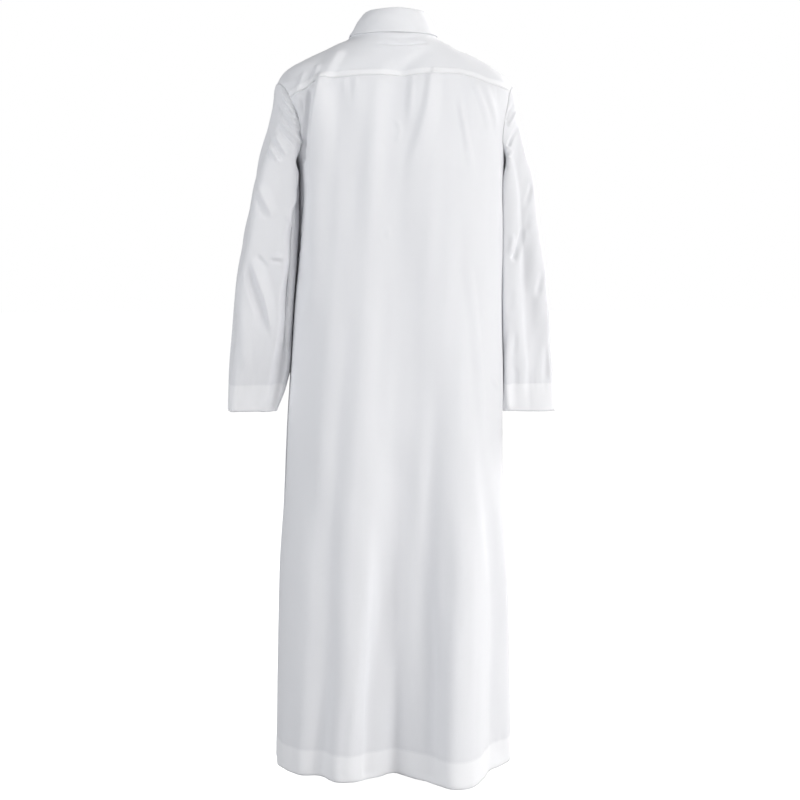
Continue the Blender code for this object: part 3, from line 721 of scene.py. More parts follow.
@dataclass(frozen=True)
class Crease:
    """Soft ridge, or trough where the height is negative, along a path on a surface.

    Each knot is (across, down, reach, height). On cloth that the camera sees, the first two are a place in
    its frame; on the front they are x and the level in metres. reach is the half breadth and height the
    rise, both in millimetres. lean narrows the flank on the left of a path that runs down the back and
    widens the other; crisp turns the rounded crest into a pressed edge. top and bottom are the shares of the
    path over which it fades in and out.
    """

    knots: tuple[tuple[float, float, float, float], ...]
    lean: float = 0.0
    crisp: float = 0.0
    top: float = 0.25
    bottom: float = 0.25
    samples: int = 70
    press_power: float = 1.6

    def height(self, place: Placing, points: Array, normals: Array) -> Array:
        """Relief of the crease at a surface's points.

        The path is a smooth curve through the knots. Each point's distance to it, signed by side and
        divided by the reach, is the argument of a raised cosine, which fades out over the path's ends.

        Args:
            place: Function that turns the knots' first two values into points on the surface.
            points: The surface's points.
            normals: Their normals.

        Returns:
            Heights, one for each point.
        """
        knots = np.array(self.knots)
        along = np.concatenate([[0.0], np.cumsum(np.hypot(*np.diff(knots[:, :2], axis=0).T))])
        where = np.linspace(0.0, along[-1], self.samples)
        across, down, reach, rise = (smooth_table(where, along, knots[:, k]) for k in range(4))
        path = place(across, down)
        reach, rise = reach * MM, rise * MM
        share = np.linspace(0.0, 1.0, self.samples)
        if self.top:
            rise = rise * smooth_step(share / self.top)
        if self.bottom:
            rise = rise * smooth_step((1.0 - share) / self.bottom)
        result = np.zeros(points.shape[:-1])
        margin = reach.max() * (1.0 + abs(self.lean))
        near = np.all((points > path.min(0) - margin) & (points < path.max(0) + margin), axis=-1)
        if not near.any():
            return result
        spots = points[near]
        apart = (spots ** 2).sum(-1)[:, None] - 2.0 * spots @ path.T + (path ** 2).sum(-1)
        index = apart.argmin(1)
        step = np.gradient(path, axis=0)
        length = np.maximum(np.linalg.norm(step, axis=-1), 1e-6)
        tangent = unit(step)[index]
        offset = spots - path[index]
        ahead = (offset * tangent).sum(-1)
        aside = offset - ahead[:, None] * tangent
        side = np.sign((np.cross(tangent, normals[near]) * offset).sum(-1))
        sample = index + ahead / length[index]
        past = np.maximum(np.maximum(-sample, sample - self.samples + 1), 0.0) * length[index]
        numbers = np.arange(self.samples)
        here = np.interp(sample, numbers, reach) * (1.0 - self.lean * side)
        across = np.minimum(np.linalg.norm(aside, axis=-1) / here, 1.0)
        rounded = 0.5 + 0.5 * np.cos(np.pi * across)
        pressed = (1.0 - across) ** self.press_power
        shape = rounded + (pressed - rounded) * self.crisp
        result[near] = np.interp(sample, numbers, rise) * shape * smooth_step(1.0 - past / here)
        return result


@dataclass(frozen=True)
class Seam:
    """Relief beside a seam: a raised band where the allowances lie under the cloth, and a tucked edge."""

    ridge: float = 0.0
    ridge_width: float = 9.0
    tuck: float = 0.0
    tuck_width: float = 3.0
    half_ease: float = 1.2

    def height(self, distance: Array) -> Array:
        """Step of the ridge's height that eases out at its width, less a bell-shaped tuck at the edge."""
        away = distance / MM
        band = self.ridge * smooth_step((self.ridge_width + self.half_ease - away) / (2.0 * self.half_ease))
        return (band - self.tuck * np.exp(-(away / self.tuck_width) ** 2)) * MM


@dataclass(frozen=True)
class Pucker:
    """Small ripples square to a stitch line, where the thread has drawn the cloth in."""

    depth: float = 0.8
    groove: float = 0.7
    above: float = 22.0
    below: float = 12.0
    pitch: float = 17.0
    seed: int = 1
    ripples: int = 7
    groove_width: float = 1.3

    def height(self, distance: Array, along: Array) -> Array:
        """Uneven sine ripples along the line that die away from it, and a groove on the line itself.

        Args:
            distance: Signed distance from the line, positive above it.
            along: Distance travelled along the line.

        Returns:
            Heights.
        """
        away = distance / MM
        fade = np.where(away > 0.0, np.exp(-away / self.above), np.exp(away / self.below))
        draw = np.random.default_rng(self.seed)
        ripple = np.zeros_like(along)
        for _ in range(self.ripples):
            pitch = self.pitch * draw.uniform(0.6, 2.6)
            size = draw.uniform(0.4, 1.0)
            ripple += size * np.sin(2.0 * math.pi * along / MM / pitch + draw.uniform(0, 6.3))
        envelope = 0.55 + 0.45 * np.sin(along * draw.uniform(20.0, 34.0) + draw.uniform(0, 6.3))
        ripple *= envelope / 2.2
        groove = np.exp(-(away / self.groove_width) ** 2)
        return (self.depth * ripple * fade - self.groove * groove) * MM


def folded_edge(above: Array, depth: float = 0.0011, reach: float = 0.0022) -> Array:
    """How far cloth falls away at a folded edge: a quarter ellipse over the reach above the edge."""
    share = np.clip(above / reach, 0.0, 1.0)
    return depth * (1.0 - np.sqrt(np.maximum(1.0 - (1.0 - share) ** 2, 0.0)))


def doubled_below(depth: Array, ease: float = 0.0015) -> Array:
    """Share of doubled cloth by the depth below a turn-up's stitch line."""
    return smooth_step(depth / ease + 0.5)


# Finishes.


def new_group(name: str, inputs: dict, outputs: dict) -> tuple[bpy.types.NodeTree, object, object]:
    """Empty shader node group with its named sockets.

    Args:
        name: The group's name.
        inputs: Name to (socket type, default or None).
        outputs: Name to socket type.

    Returns:
        The group, its input node and its output node.
    """
    group = bpy.data.node_groups.new(name, "ShaderNodeTree")
    for label, (kind, default) in inputs.items():
        socket = group.interface.new_socket(name=label, in_out="INPUT", socket_type=kind)
        if default is not None:
            socket.default_value = default
    for label, kind in outputs.items():
        group.interface.new_socket(name=label, in_out="OUTPUT", socket_type=kind)
    return group, group.nodes.new("NodeGroupInput"), group.nodes.new("NodeGroupOutput")


class Graph:
    """Small helper that adds and joins nodes in one tree."""

    def __init__(self, tree: bpy.types.NodeTree) -> None:
        """Keep the tree."""
        self.tree = tree

    def add(self, kind: str, values: dict | None = None, **settings) -> bpy.types.Node:
        """Add a node, set its properties and its input sockets; a socket among the values is linked."""
        node = self.tree.nodes.new(kind)
        for name, value in settings.items():
            setattr(node, name, value)
        set_inputs(node, values or {})
        return node

    def maths(self, operation: str, first: Value, second: Value = 0.0) -> bpy.types.NodeSocket:
        """Output of a Math node."""
        return self.add("ShaderNodeMath", {0: first, 1: second}, operation=operation).outputs[0]

    def noise(self, place: bpy.types.NodeSocket, values: dict, **settings) -> bpy.types.NodeSocket:
        """Output of a Noise Texture node."""
        return self.add("ShaderNodeTexNoise", {"Vector": place, **values}, **settings).outputs["Fac"]

    def mixed(self, share: Value, first: Colour, second: Colour) -> bpy.types.NodeSocket:
        """Output of a Mix node for colours; each may be a socket or three values."""
        first, second = (c if isinstance(c, bpy.types.NodeSocket) else (*c, 1.0) for c in (first, second))
        return self.add("ShaderNodeMix", {0: share, 6: first, 7: second}, data_type="RGBA").outputs[2]

    def ranged(self, value: Value, low: float, high: float, start: float = 0.0,
               end: float = 1.0) -> bpy.types.NodeSocket:
        """Output of a Map Range node that takes start to low and end to high."""
        return self.add("ShaderNodeMapRange", {"Value": value, "From Min": start, "From Max": end,
                                               "To Min": low, "To Max": high}).outputs["Result"]


def new_material(name: str) -> tuple[bpy.types.Material, Graph, bpy.types.Node]:
    """Material with its graph and its Principled shader."""
    material = bpy.data.materials.new(name)
    material.use_nodes = True
    return material, Graph(material.node_tree), material.node_tree.nodes["Principled BSDF"]


def set_inputs(node: bpy.types.Node, values: dict) -> None:
    """Link each named input to a socket, or set it to a value."""
    for name, value in values.items():
        if isinstance(value, bpy.types.NodeSocket):
            node.id_data.links.new(value, node.inputs[name])
        else:
            node.inputs[name].default_value = value


def weave_group() -> bpy.types.NodeTree:
    """Plain weave: threads over and under at the given pitch, and uneven thicker threads along both ways.

    The height is the product of a sine along the warp and one along the weft; the shade is stretched noise.
    """
    group, given, result = new_group(
        "plain_weave",
        {"UV": ("NodeSocketVector", None), "Threads per metre": ("NodeSocketFloat", 2600.0),
         "Streaks": ("NodeSocketFloat", 1.0)},
        {"Shade": "NodeSocketFloat", "Height": "NodeSocketFloat"})
    graph = Graph(group)
    split = graph.add("ShaderNodeSeparateXYZ", {"Vector": given.outputs["UV"]})
    turn = graph.maths("MULTIPLY", given.outputs["Threads per metre"], math.pi)
    warp = graph.maths("SINE", graph.maths("MULTIPLY", split.outputs["X"], turn))
    weft = graph.maths("SINE", graph.maths("MULTIPLY", split.outputs["Y"], turn))
    cross = graph.maths("MULTIPLY", warp, weft)
    noises = []
    for scale in ((900.0, 9.0, 1.0), (14.0, 700.0, 1.0)):
        stretched = graph.add("ShaderNodeMapping", {"Vector": given.outputs["UV"], "Scale": scale})
        values = {"Scale": 1.0, "Detail": 2.0, "Roughness": 0.6}
        noises.append(graph.noise(stretched.outputs["Vector"], values, noise_dimensions="2D"))
    broad = graph.noise(given.outputs["UV"], {"Scale": 26.0, "Detail": 3.0}, noise_dimensions="2D")
    streak = graph.add("ShaderNodeMix", {0: 0.32, 2: noises[0], 3: noises[1]}, data_type="FLOAT").outputs[0]
    shade = graph.add("ShaderNodeMix", {0: 0.25, 2: streak, 3: broad}, data_type="FLOAT").outputs[0]
    eased = graph.maths("SUBTRACT", shade, 0.5)
    eased = graph.maths("ADD", graph.maths("MULTIPLY", eased, given.outputs["Streaks"]), 0.5)
    height = graph.maths("ADD", graph.maths("MULTIPLY", cross, 0.3), streak)
    group.links.new(eased, result.inputs["Shade"])
    group.links.new(height, result.inputs["Height"])
    return group


@dataclass(frozen=True)
class ClothFinish:
    """White dress cloth with a fine plain weave, whiter where it lies double. Doubled cloth is more opaque,
    and its whiter colour is painted light: it stands in for the shade that shows through single cloth.
    """

    name: str = "white_dress_cloth"
    colour: tuple[float, float, float] = (0.802, 0.807, 0.828)
    shadow_thread: tuple[float, float, float] = (0.772, 0.778, 0.803)
    # Whiter colour of doubled cloth: painted light, in place of the shade that shows through single cloth.
    doubled_colour: tuple[float, float, float] = (0.865, 0.868, 0.885)
    roughness: float = 0.78
    roughness_spread: float = 0.06
    sheen: float = 0.25
    threads_per_metre: float = 2600.0
    streaks: float = 1.0
    relief: float = 0.00012

    def build(self, weave: bpy.types.NodeTree) -> bpy.types.Material:
        """Material whose colour and fine relief come from the weave group and the doubled attribute, which
        mixes in the whiter doubled colour as painted light.
        """
        material, graph, shader = new_material(self.name)
        cloth = graph.add("ShaderNodeGroup", node_tree=weave)
        set_inputs(cloth, {"UV": graph.add("ShaderNodeUVMap", uv_map="cut").outputs["UV"],
                           "Threads per metre": self.threads_per_metre, "Streaks": self.streaks})
        shade = cloth.outputs["Shade"]
        doubled = graph.add("ShaderNodeAttribute", attribute_name="doubled").outputs["Fac"]
        single = graph.mixed(shade, self.shadow_thread, self.colour)
        bump = graph.add("ShaderNodeBump", {"Height": cloth.outputs["Height"], "Strength": 0.35,
                                            "Distance": self.relief})
        set_inputs(shader, {
            "Base Color": graph.mixed(doubled, single, self.doubled_colour),
            "Roughness": graph.ranged(shade, self.roughness - self.roughness_spread,
                                      self.roughness + self.roughness_spread),
            "Normal": bump.outputs["Normal"], "Sheen Weight": self.sheen, "Sheen Roughness": 0.5,
            "IOR": 1.46, "Specular IOR Level": 0.3})
        return material


@dataclass(frozen=True)
class ThreadFinish:
    """White sewing thread, a little shinier than the cloth, twisted."""

    name: str = "white_sewing_thread"
    colour: tuple[float, float, float] = (0.86, 0.865, 0.875)
    # Share of the colour kept in the twist's grooves: painted shade.
    groove_shade: float = 0.94
    roughness: float = 0.55

    def build(self) -> bpy.types.Material:
        """Material with fine slanted bands on Object coordinates for the thread's twist; the bands darken
        its grooves with painted shade.
        """
        material, graph, shader = new_material(self.name)
        place = graph.add("ShaderNodeTexCoord").outputs["Object"]
        bands = graph.add("ShaderNodeTexWave", {"Vector": place, "Scale": 900.0, "Distortion": 1.5},
                          bands_direction="DIAGONAL").outputs["Fac"]
        # Darker copy of the colour for the twist's grooves: painted shade.
        darker = tuple(part * self.groove_shade for part in self.colour)
        bump = graph.add("ShaderNodeBump", {"Height": bands, "Strength": 0.3, "Distance": 0.0001})
        set_inputs(shader, {"Base Color": graph.mixed(bands, darker, self.colour),
                            "Roughness": self.roughness, "Normal": bump.outputs["Normal"],
                            "Sheen Weight": 0.2})
        return material


@dataclass(frozen=True)
class PearlFinish:
    """Milky pearl shirt button: cloudy colour under a clear gloss."""

    name: str = "pearl_button"
    colour: tuple[float, float, float] = (0.86, 0.86, 0.84)
    cloud: tuple[float, float, float] = (0.74, 0.76, 0.77)
    roughness: float = 0.22

    def build(self) -> bpy.types.Material:
        """Material with drifting cloud bands on Object coordinates."""
        material, graph, shader = new_material(self.name)
        place = graph.add("ShaderNodeTexCoord").outputs["Object"]
        clouds = graph.noise(place, {"Scale": 180.0, "Detail": 4.0, "Distortion": 1.2})
        set_inputs(shader, {"Base Color": graph.mixed(clouds, self.cloud, self.colour),
                            "Roughness": graph.ranged(clouds, self.roughness - 0.05, self.roughness + 0.08),
                            "Coat Weight": 0.5, "Coat Roughness": 0.08})
        return material


@dataclass(frozen=True)
class Wardrobe:
    """The finished materials."""

    cloth: bpy.types.Material
    thread: bpy.types.Material
    pearl: bpy.types.Material

    @classmethod
    def make(cls) -> "Wardrobe":
        """Build every finish once."""
        return cls(ClothFinish().build(weave_group()), ThreadFinish().build(), PearlFinish().build())


# Meshes.


def grid_quads(rows: int, columns: int, closed: bool, flipped: bool, skipped: Array | None = None) -> Array:
    """Quads of a grid as vertex numbers: each cell's corners in order, wrapped round where it is closed.

    Args:
        rows: Rows of points.
        columns: Points in a row.
        closed: Whether the last column joins the first.
        flipped: Whether to turn the faces over.
        skipped: Mask of cells to leave open, or None.

    Returns:
        Vertex numbers, (cells, 4).
    """
    row = np.arange(rows - 1)[:, None]
    column = np.arange(columns if closed else columns - 1)[None, :]
    after = (column + 1) % columns
    quads = np.stack(np.broadcast_arrays(row * columns + column, (row + 1) * columns + column,
                                         (row + 1) * columns + after, row * columns + after), -1)
    if skipped is not None:
        quads = quads[~skipped]
    quads = quads.reshape(-1, 4)
    return quads[:, ::-1] if flipped else quads


def mesh_of(name: str, points: Array, faces: Array, material: bpy.types.Material,
            uv: Array | None = None, doubled: Array | None = None) -> bpy.types.Object:
    """Smooth mesh object at the origin, from whole arrays.

    Args:
        name: The object's name.
        points: Vertices, (..., 3).
        faces: Vertex numbers, (faces, corners).
        material: Its material.
        uv: Cut coordinates for each vertex, in metres.
        doubled: Share of doubled cloth for each vertex.

    Returns:
        The new object.
    """
    points = points.reshape(-1, 3)
    used, numbers = np.unique(faces, return_inverse=True)
    mesh = bpy.data.meshes.new(name)
    mesh.from_pydata(points[used].tolist(), [], numbers.reshape(faces.shape).tolist())
    corners = np.empty(len(mesh.loops), np.int32)
    mesh.loops.foreach_get("vertex_index", corners)
    if uv is not None:
        layer = mesh.uv_layers.new(name="cut")
        layer.data.foreach_set("uv", uv.reshape(-1, 2)[used][corners].ravel())
    if doubled is not None:
        attribute = mesh.attributes.new("doubled", "FLOAT", "POINT")
        attribute.data.foreach_set("value", doubled.reshape(-1)[used].astype(np.float32))
    mesh.materials.append(material)
    mesh.shade_smooth()
    mesh.update()
    thing = bpy.data.objects.new(name, mesh)
    bpy.context.scene.collection.objects.link(thing)
    return thing


def thicken(thing: bpy.types.Object, thickness: float) -> None:
    """Give a sheet its wall, inward from its outer skin."""
    wall = thing.modifiers.new("wall", "SOLIDIFY")
    wall.thickness = thickness
    wall.offset = -1.0
    wall.use_even_offset = False


def stitch_shape(length: float, radius: float) -> tuple[Array, Array]:
    """One sewn stitch: a four-sided rod along X whose ends dip under, with a quad over each end.

    Args:
        length: Length of the stitch.
        radius: Half its thickness.

    Returns:
        Its points and its quads, faced outward.
    """
    along = np.array([-0.5, -0.32, 0.32, 0.5]) * length
    dip = np.array([-1.1, 0.35, 0.35, -1.1]) * radius
    wide = np.array([0.55, 1.0, 1.0, 0.55]) * radius
    turn = (np.arange(4) + 0.5) / 4.0 * 2.0 * math.pi
    x = np.broadcast_to(along[:, None], (4, 4))
    y = wide[:, None] * np.cos(turn)
    z = dip[:, None] + wide[:, None] * np.sin(turn)
    ends = np.array([[3, 2, 1, 0], [12, 13, 14, 15]])
    return np.stack([x, y, z], -1).reshape(-1, 3), np.concatenate([grid_quads(4, 4, True, True), ends])


def read_along(where: Array, along: Array, rows: Array) -> Array:
    """Rows of three values read at places along a line, by straight steps between them."""
    return np.stack([np.interp(where, along, column) for column in rows.T], -1)


@dataclass(frozen=True)
class Thread:
    """A run of stitches along a line on a surface."""

    pitch: float = 0.0031
    length: float = 0.0023
    radius: float = 0.00022

    def run(self, line: Array, normals: Array) -> tuple[Array, Array]:
        """Stitches evenly spaced on a line: each a copy of the shape, turned to the line and the normal.

        Args:
            line: Points of the line.
            normals: The surface's normals there.

        Returns:
            All points, (stitches * corners, 3), and all quads.
        """
        along = np.concatenate([[0.0], np.cumsum(np.linalg.norm(np.diff(line, axis=0), axis=1))])
        count = max(int(along[-1] / self.pitch), 2)
        where = (np.arange(count) + 0.5) * along[-1] / count
        centre, before, after = (read_along(where + step * self.length / 2, along, line)
                                 for step in (0, -1, 1))
        up = unit(read_along(where, along, normals))
        forward = unit(after - before)
        sideways = unit(np.cross(up, forward))
        up = np.cross(forward, sideways)
        shape, quads = stitch_shape(self.length, self.radius)
        points = (centre[:, None] + shape[:, 0, None] * forward[:, None]
                  + shape[:, 1, None] * sideways[:, None] + shape[:, 2, None] * up[:, None])
        faces = quads[None] + (np.arange(count) * len(shape))[:, None, None]
        return points.reshape(-1, 3), faces.reshape(-1, 4)


def sew(name: str, lines: list[tuple[Array, Array]], material: bpy.types.Material,
        thread: Thread = Thread()) -> None:
    """Join runs of stitches into one piece that rides with the robe.

    Args:
        name: The piece's name.
        lines: Lines to sew, each its points and the normals there.
        material: The thread's material.
        thread: Size and spacing of the stitches.
    """
    points, faces, count = [], [], 0
    for line, normals in lines:
        more, quads = thread.run(line, normals)
        points.append(more)
        faces.append(quads + count)
        count += len(more)
    piece = mesh_of(name, np.concatenate(points), np.concatenate(faces), material)
    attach(piece, "root")
    LOG.info("%s: %d stitch points", name, count)


@dataclass
class Cloth:
    """A cloth piece while it is being shaped: a grid of points, their normals and their cut coordinates."""

    name: str
    base: Array
    normals: Array
    closed: bool = False
    flipped: bool = False
    relief: Array = field(init=False)
    doubled: Array = field(init=False)

    def __post_init__(self) -> None:
        """Start flat and single."""
        self.relief = np.zeros(self.base.shape[:2])
        self.doubled = np.zeros(self.base.shape[:2])

    def crease(self, creases: tuple[Crease, ...], place: Placing, gain: float = 1.0) -> None:
        """Add creases whose paths are placed by a function, their heights times the gain."""
        for crease in creases:
            self.relief += gain * crease.height(place, self.base, self.normals)

    @property
    def points(self) -> Array:
        """The base moved along its normals by the relief."""
        return self.base + self.normals * self.relief[..., None]

    def uv(self) -> Array:
        """Cut coordinates: mean lengths travelled across and down the grid."""
        across = run_lengths(self.base, 1)
        across = across - across[:, -1:] / 2.0
        down = run_lengths(self.base, 0)
        return np.stack([across, down], -1)

    def shown_normals(self) -> Array:
        """Normals of the creased surface."""
        return grid_normals(self.points, self.closed, -1.0 if self.flipped else 1.0)

    def line(self, rows: slice, columns: int, lift: float = STITCH_LIFT) -> tuple[Array, Array]:
        """Points and normals along a part of the grid, lifted a little off it."""
        normals = self.shown_normals()[rows, columns]
        return self.points[rows, columns] + normals * lift, normals

    def contour(self, distance: Array, wanted: float, lift: float = STITCH_LIFT) -> tuple[Array, Array]:
        """Line on the shaped cloth where a value that grows down every column reaches the wanted one.

        Args:
            distance: The value at each grid point.
            wanted: The value to follow.
            lift: Distance of the line above the cloth.

        Returns:
            Points and normals, one for each column; a closed grid's line ends where it starts.
        """
        columns = np.arange(distance.shape[1])
        above = np.clip((distance < wanted).sum(0) - 1, 0, len(distance) - 2)
        start, end = distance[above, columns], distance[above + 1, columns]
        share = ((wanted - start) / (end - start))[:, None]
        shown, points = self.shown_normals(), self.points
        normals = unit(shown[above, columns] * (1.0 - share) + shown[above + 1, columns] * share)
        line = points[above, columns] * (1.0 - share) + points[above + 1, columns] * share + normals * lift
        if self.closed:
            return np.concatenate([line, line[:1]]), np.concatenate([normals, normals[:1]])
        return line, normals

    def finish(self, node: str, wall: float, material: bpy.types.Material, flat: tuple[float, float],
               area: float | None, held: str, rests_on: list[str], skipped: Array | None = None) -> None:
        """Make the piece, give it its wall, hang it on the root and hide the CAD node it stands for.

        Args:
            node: The CAD node it stands for.
            wall: Thickness of the cloth.
            material: Its material.
            flat: Width and length it was cut to; not used.
            area: Area of the cut, where it isn't a rectangle; not used.
            held: How the cloth is held; not used.
            rests_on: What it hangs from or lies on; not used.
            skipped: Mask of cells left open.
        """
        rows, columns = self.base.shape[:2]
        faces = grid_quads(rows, columns, self.closed, self.flipped, skipped)
        piece = mesh_of(self.name, self.points, faces, material, self.uv(), self.doubled)
        thicken(piece, wall)
        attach(piece, "root")
        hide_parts(node)
        LOG.info("%s: %d faces", self.name, len(faces))


# Creases, placed one by one.

BACK_CREASES: tuple[Crease, ...] = (
    Crease(((361, 74, 50, 0), (359, 110, 57, 0.6), (358, 150, 61, 1.6), (356, 200, 65, 3),
            (353, 250, 69, 4.8), (350, 310, 73, 6.2), (347, 370, 77, 6.8), (346, 430, 77, 6.6),
            (344, 500, 77, 5.8), (340, 570, 73, 4.8), (337, 640, 65, 3.4), (334, 700, 57, 2.2),
            (336, 779, 50, 1.8)), top=0, bottom=0),
    Crease(((402, 74, 42, -5), (396, 110, 46, -5.8), (397, 150, 54, -6.6), (395, 200, 65, -7),
            (394, 250, 73, -7), (395, 310, 77, -6.8), (397, 370, 77, -6.2), (391, 430, 73, -5),
            (383, 500, 61, -3.7), (379, 570, 54, -3.7), (374, 640, 50, -4), (369, 700, 46, -3.8),
            (369, 777, 46, -3.4)), top=0, bottom=0),
    Crease(((404, 480, 34, 0.4), (402, 570, 38, 1.4), (402, 640, 34, 2.6), (402, 700, 31, 3.4),
            (404, 770, 31, 4)), crisp=0.1, top=0.1, bottom=0),
    Crease(((386, 510, 36, -2), (383, 580, 40, -5.5), (379, 640, 42, -8.5), (374, 700, 42, -10.5),
            (371, 772, 42, -10.5)), top=0.35, bottom=0),
    Crease(((424, 490, 28, -1.5), (425, 560, 32, -4), (425, 640, 34, -5.5), (426, 720, 34, -6.5),
            (427, 775, 34, -6.5)), top=0.35, bottom=0),
    Crease(((462, 500, 32, 2), (462, 580, 34, 4), (461, 650, 36, 6), (459, 720, 36, 7.5),
            (458, 784, 36, 6.5)),
           lean=0.1, top=0.3, bottom=0),
    Crease(((360, 690, 16, 1), (352, 730, 18, 2), (348, 770, 18, 2)), lean=0.3, top=0.4, bottom=0),
    Crease(((452, 200, 50, 1.3), (452, 310, 50, 1.5), (452, 370, 54, 2.2), (454, 430, 54, 3),
            (455, 500, 54, 3.6), (453, 570, 50, 4.6), (452, 640, 46, 5.6), (450, 700, 42, 6.4),
            (450, 782, 38, 6)), crisp=0.1, top=0.15, bottom=0),
    Crease(((474, 170, 31, -1.2), (480, 228, 34, -1.2), (483, 275, 31, -1.1)), top=0.3, bottom=0.4),
    Crease(((466, 270, 19, -1), (468, 336, 23, -1.5), (472, 372, 27, -2.1), (477, 430, 34, -2.6),
            (486, 500, 42, -3.2), (494, 570, 46, -3.8), (498, 640, 46, -4.2), (498, 750, 46, -4.4)),
           top=0.1, bottom=0),
    Crease(((494, 125, 23, 2), (497, 170, 27, 2.2), (496, 228, 27, 2.2), (498, 300, 27, 1.9),
            (500, 390, 27, 1.4)), top=0.2, bottom=0.3),
    Crease(((334, 84, 27, -1), (334, 140, 31, -1.3), (332, 190, 38, -1.4), (329, 228, 42, -1.3),
            (325, 270, 46, -1.4), (320, 310, 50, -1.8), (312, 360, 54, -2.1), (304, 408, 57, -2.2),
            (300, 450, 57, -2.2), (297, 510, 57, -2.4), (296, 580, 54, -2.5)), top=0.02, bottom=0.2),
    Crease(((318, 590, 31, 1.4), (314, 660, 31, 1.9), (308, 710, 31, 1.9), (303, 768, 31, 1.7)),
           top=0.2, bottom=0),
    Crease(((331, 640, 27, -0.9), (324, 710, 27, -1.6), (317, 772, 27, -1.8)), top=0.3, bottom=0),
    Crease(((319.5, 80, 14, 6), (316.5, 104, 15, 8), (313.5, 125, 17, 7.6), (311.5, 150, 19, 6),
            (310, 190, 25, 4.4), (306, 235, 31, 4), (301, 285, 34, 3.4)),
           lean=0.45, crisp=0.5, top=0, bottom=0.4),
    Crease(((311.5, 88, 6.5, -3), (309, 105, 7, -5), (306.5, 125, 7.5, -5), (304, 145, 8, -4),
            (303, 165, 8, -4)),
           lean=-0.2, top=0.05, bottom=0.1),
    Crease(((302, 98, 5.5, -2.4), (303, 118, 5.5, -2.4)), top=0.05, bottom=0.6),
    Crease(((304, 175, 9, -1), (302, 195, 10, -3), (300, 220, 10, -4), (297, 255, 10, -4),
            (293, 290, 10, -4),
            (290, 325, 10, -4), (287, 360, 10, -3), (284, 395, 10, -2)), top=0.2, bottom=0.3),
    Crease(((344, 79, 7.5, 1), (344, 104, 7.5, 0.6)), top=0, bottom=0.8),
    Crease(((350, 79, 6.5, -1.1), (351, 110, 7.5, -0.8)), top=0, bottom=0.8),
    Crease(((356, 78, 6.5, 1), (357, 100, 7.5, 0.6)), top=0, bottom=0.8),
    Crease(((412.5, 77, 11, 1.6), (411.5, 95, 11, 2.4), (410, 112, 11, 2), (407, 132, 13, 1)),
           lean=-0.1, crisp=0.1, top=0, bottom=0.5),
    Crease(((431, 76, 19, 4.2), (428, 100, 21, 5.2), (421, 130, 23, 4.6), (412, 162, 25, 3.4),
            (408, 200, 27, 2)), lean=0.35, crisp=0.2, top=0, bottom=0.5),
    Crease(((459, 88, 9.5, 1.2), (461, 108, 9.5, 1.9), (465, 130, 9.5, 2), (470, 160, 11, 1.5),
            (476, 195, 15, 1)), lean=0.1, crisp=0.3, top=0.2, bottom=0.4),
    Crease(((472, 80, 9.5, 1.8), (480, 99, 9.5, 2.4), (486, 118, 11, 1.8), (489, 140, 11, 1)),
           lean=0.1, crisp=0.2, top=0.1, bottom=0.5),
    Crease(((482, 80, 11, 2), (490, 100, 12, 3.2), (495, 120, 13, 3), (498, 145, 15, 1.8)),
           lean=0.2, crisp=0.2, top=0.15, bottom=0.5),
    Crease(((497, 86, 5, -1), (499, 108, 5, -0.8)), top=0.1, bottom=0.5),
    Crease(((396, 116, 7.5, 1.1), (400, 130, 7.5, 1.2), (396, 143, 7.5, 0.8)),
           crisp=0.2, top=0.3, bottom=0.3),
    Crease(((466, 244, 13, 1.2), (473, 300, 15, 1.8), (478, 350, 15, 2), (482, 405, 15, 1.6),
            (486, 450, 15, 0.8)), lean=-0.2, crisp=0.3),
    Crease(((490, 375, 7.5, 1.6), (500, 391, 7.5, 2)), crisp=0.3, top=0.35, bottom=0.35),
    Crease(((388, 226, 7.5, 0.9), (389, 240, 7.5, 0.7)), top=0.35, bottom=0.35),
)
FRONT_CREASES: tuple[Crease, ...] = (
    Crease(((-0.120, -0.130, 12, 3), (-0.128, -0.230, 16, 5), (-0.118, -0.380, 20, 3)), lean=0.15, top=0.05,
           bottom=0.5),
    Crease(((0.118, -0.130, 12, 3.4), (0.130, -0.220, 15, 5), (0.120, -0.360, 20, 3)), lean=-0.15, top=0.05,
           bottom=0.5),
    Crease(((-0.075, -0.110, 10, -2), (-0.082, -0.180, 13, -3), (-0.080, -0.300, 16, -1.6)),
           top=0.2, bottom=0.5),
    Crease(((0.082, -0.112, 10, -2), (0.086, -0.200, 13, -2.6), (0.078, -0.340, 17, -1.4)),
           top=0.2, bottom=0.5),
    Crease(((-0.060, -0.460, 30, 3), (-0.064, -0.800, 34, 7), (-0.060, -1.200, 38, 8),
            (-0.058, -1.387, 38, 8)),
           lean=0.1, top=0.3, bottom=0.0),
    Crease(((0.055, -0.420, 30, 3), (0.060, -0.780, 34, 6), (0.052, -1.200, 38, 7), (0.050, -1.387, 38, 8)),
           lean=-0.1, top=0.3, bottom=0.0),
    Crease(((-0.118, -0.560, 24, -2), (-0.122, -0.900, 28, -5), (-0.120, -1.387, 30, -6)),
           top=0.3, bottom=0.0),
    Crease(((0.112, -0.640, 24, -2), (0.118, -0.980, 28, -4), (0.116, -1.387, 30, -5)), top=0.3, bottom=0.0),
    Crease(((0.004, -0.640, 22, -2), (0.000, -0.960, 26, -4), (-0.004, -1.387, 28, -5)),
           top=0.3, bottom=0.0),
)
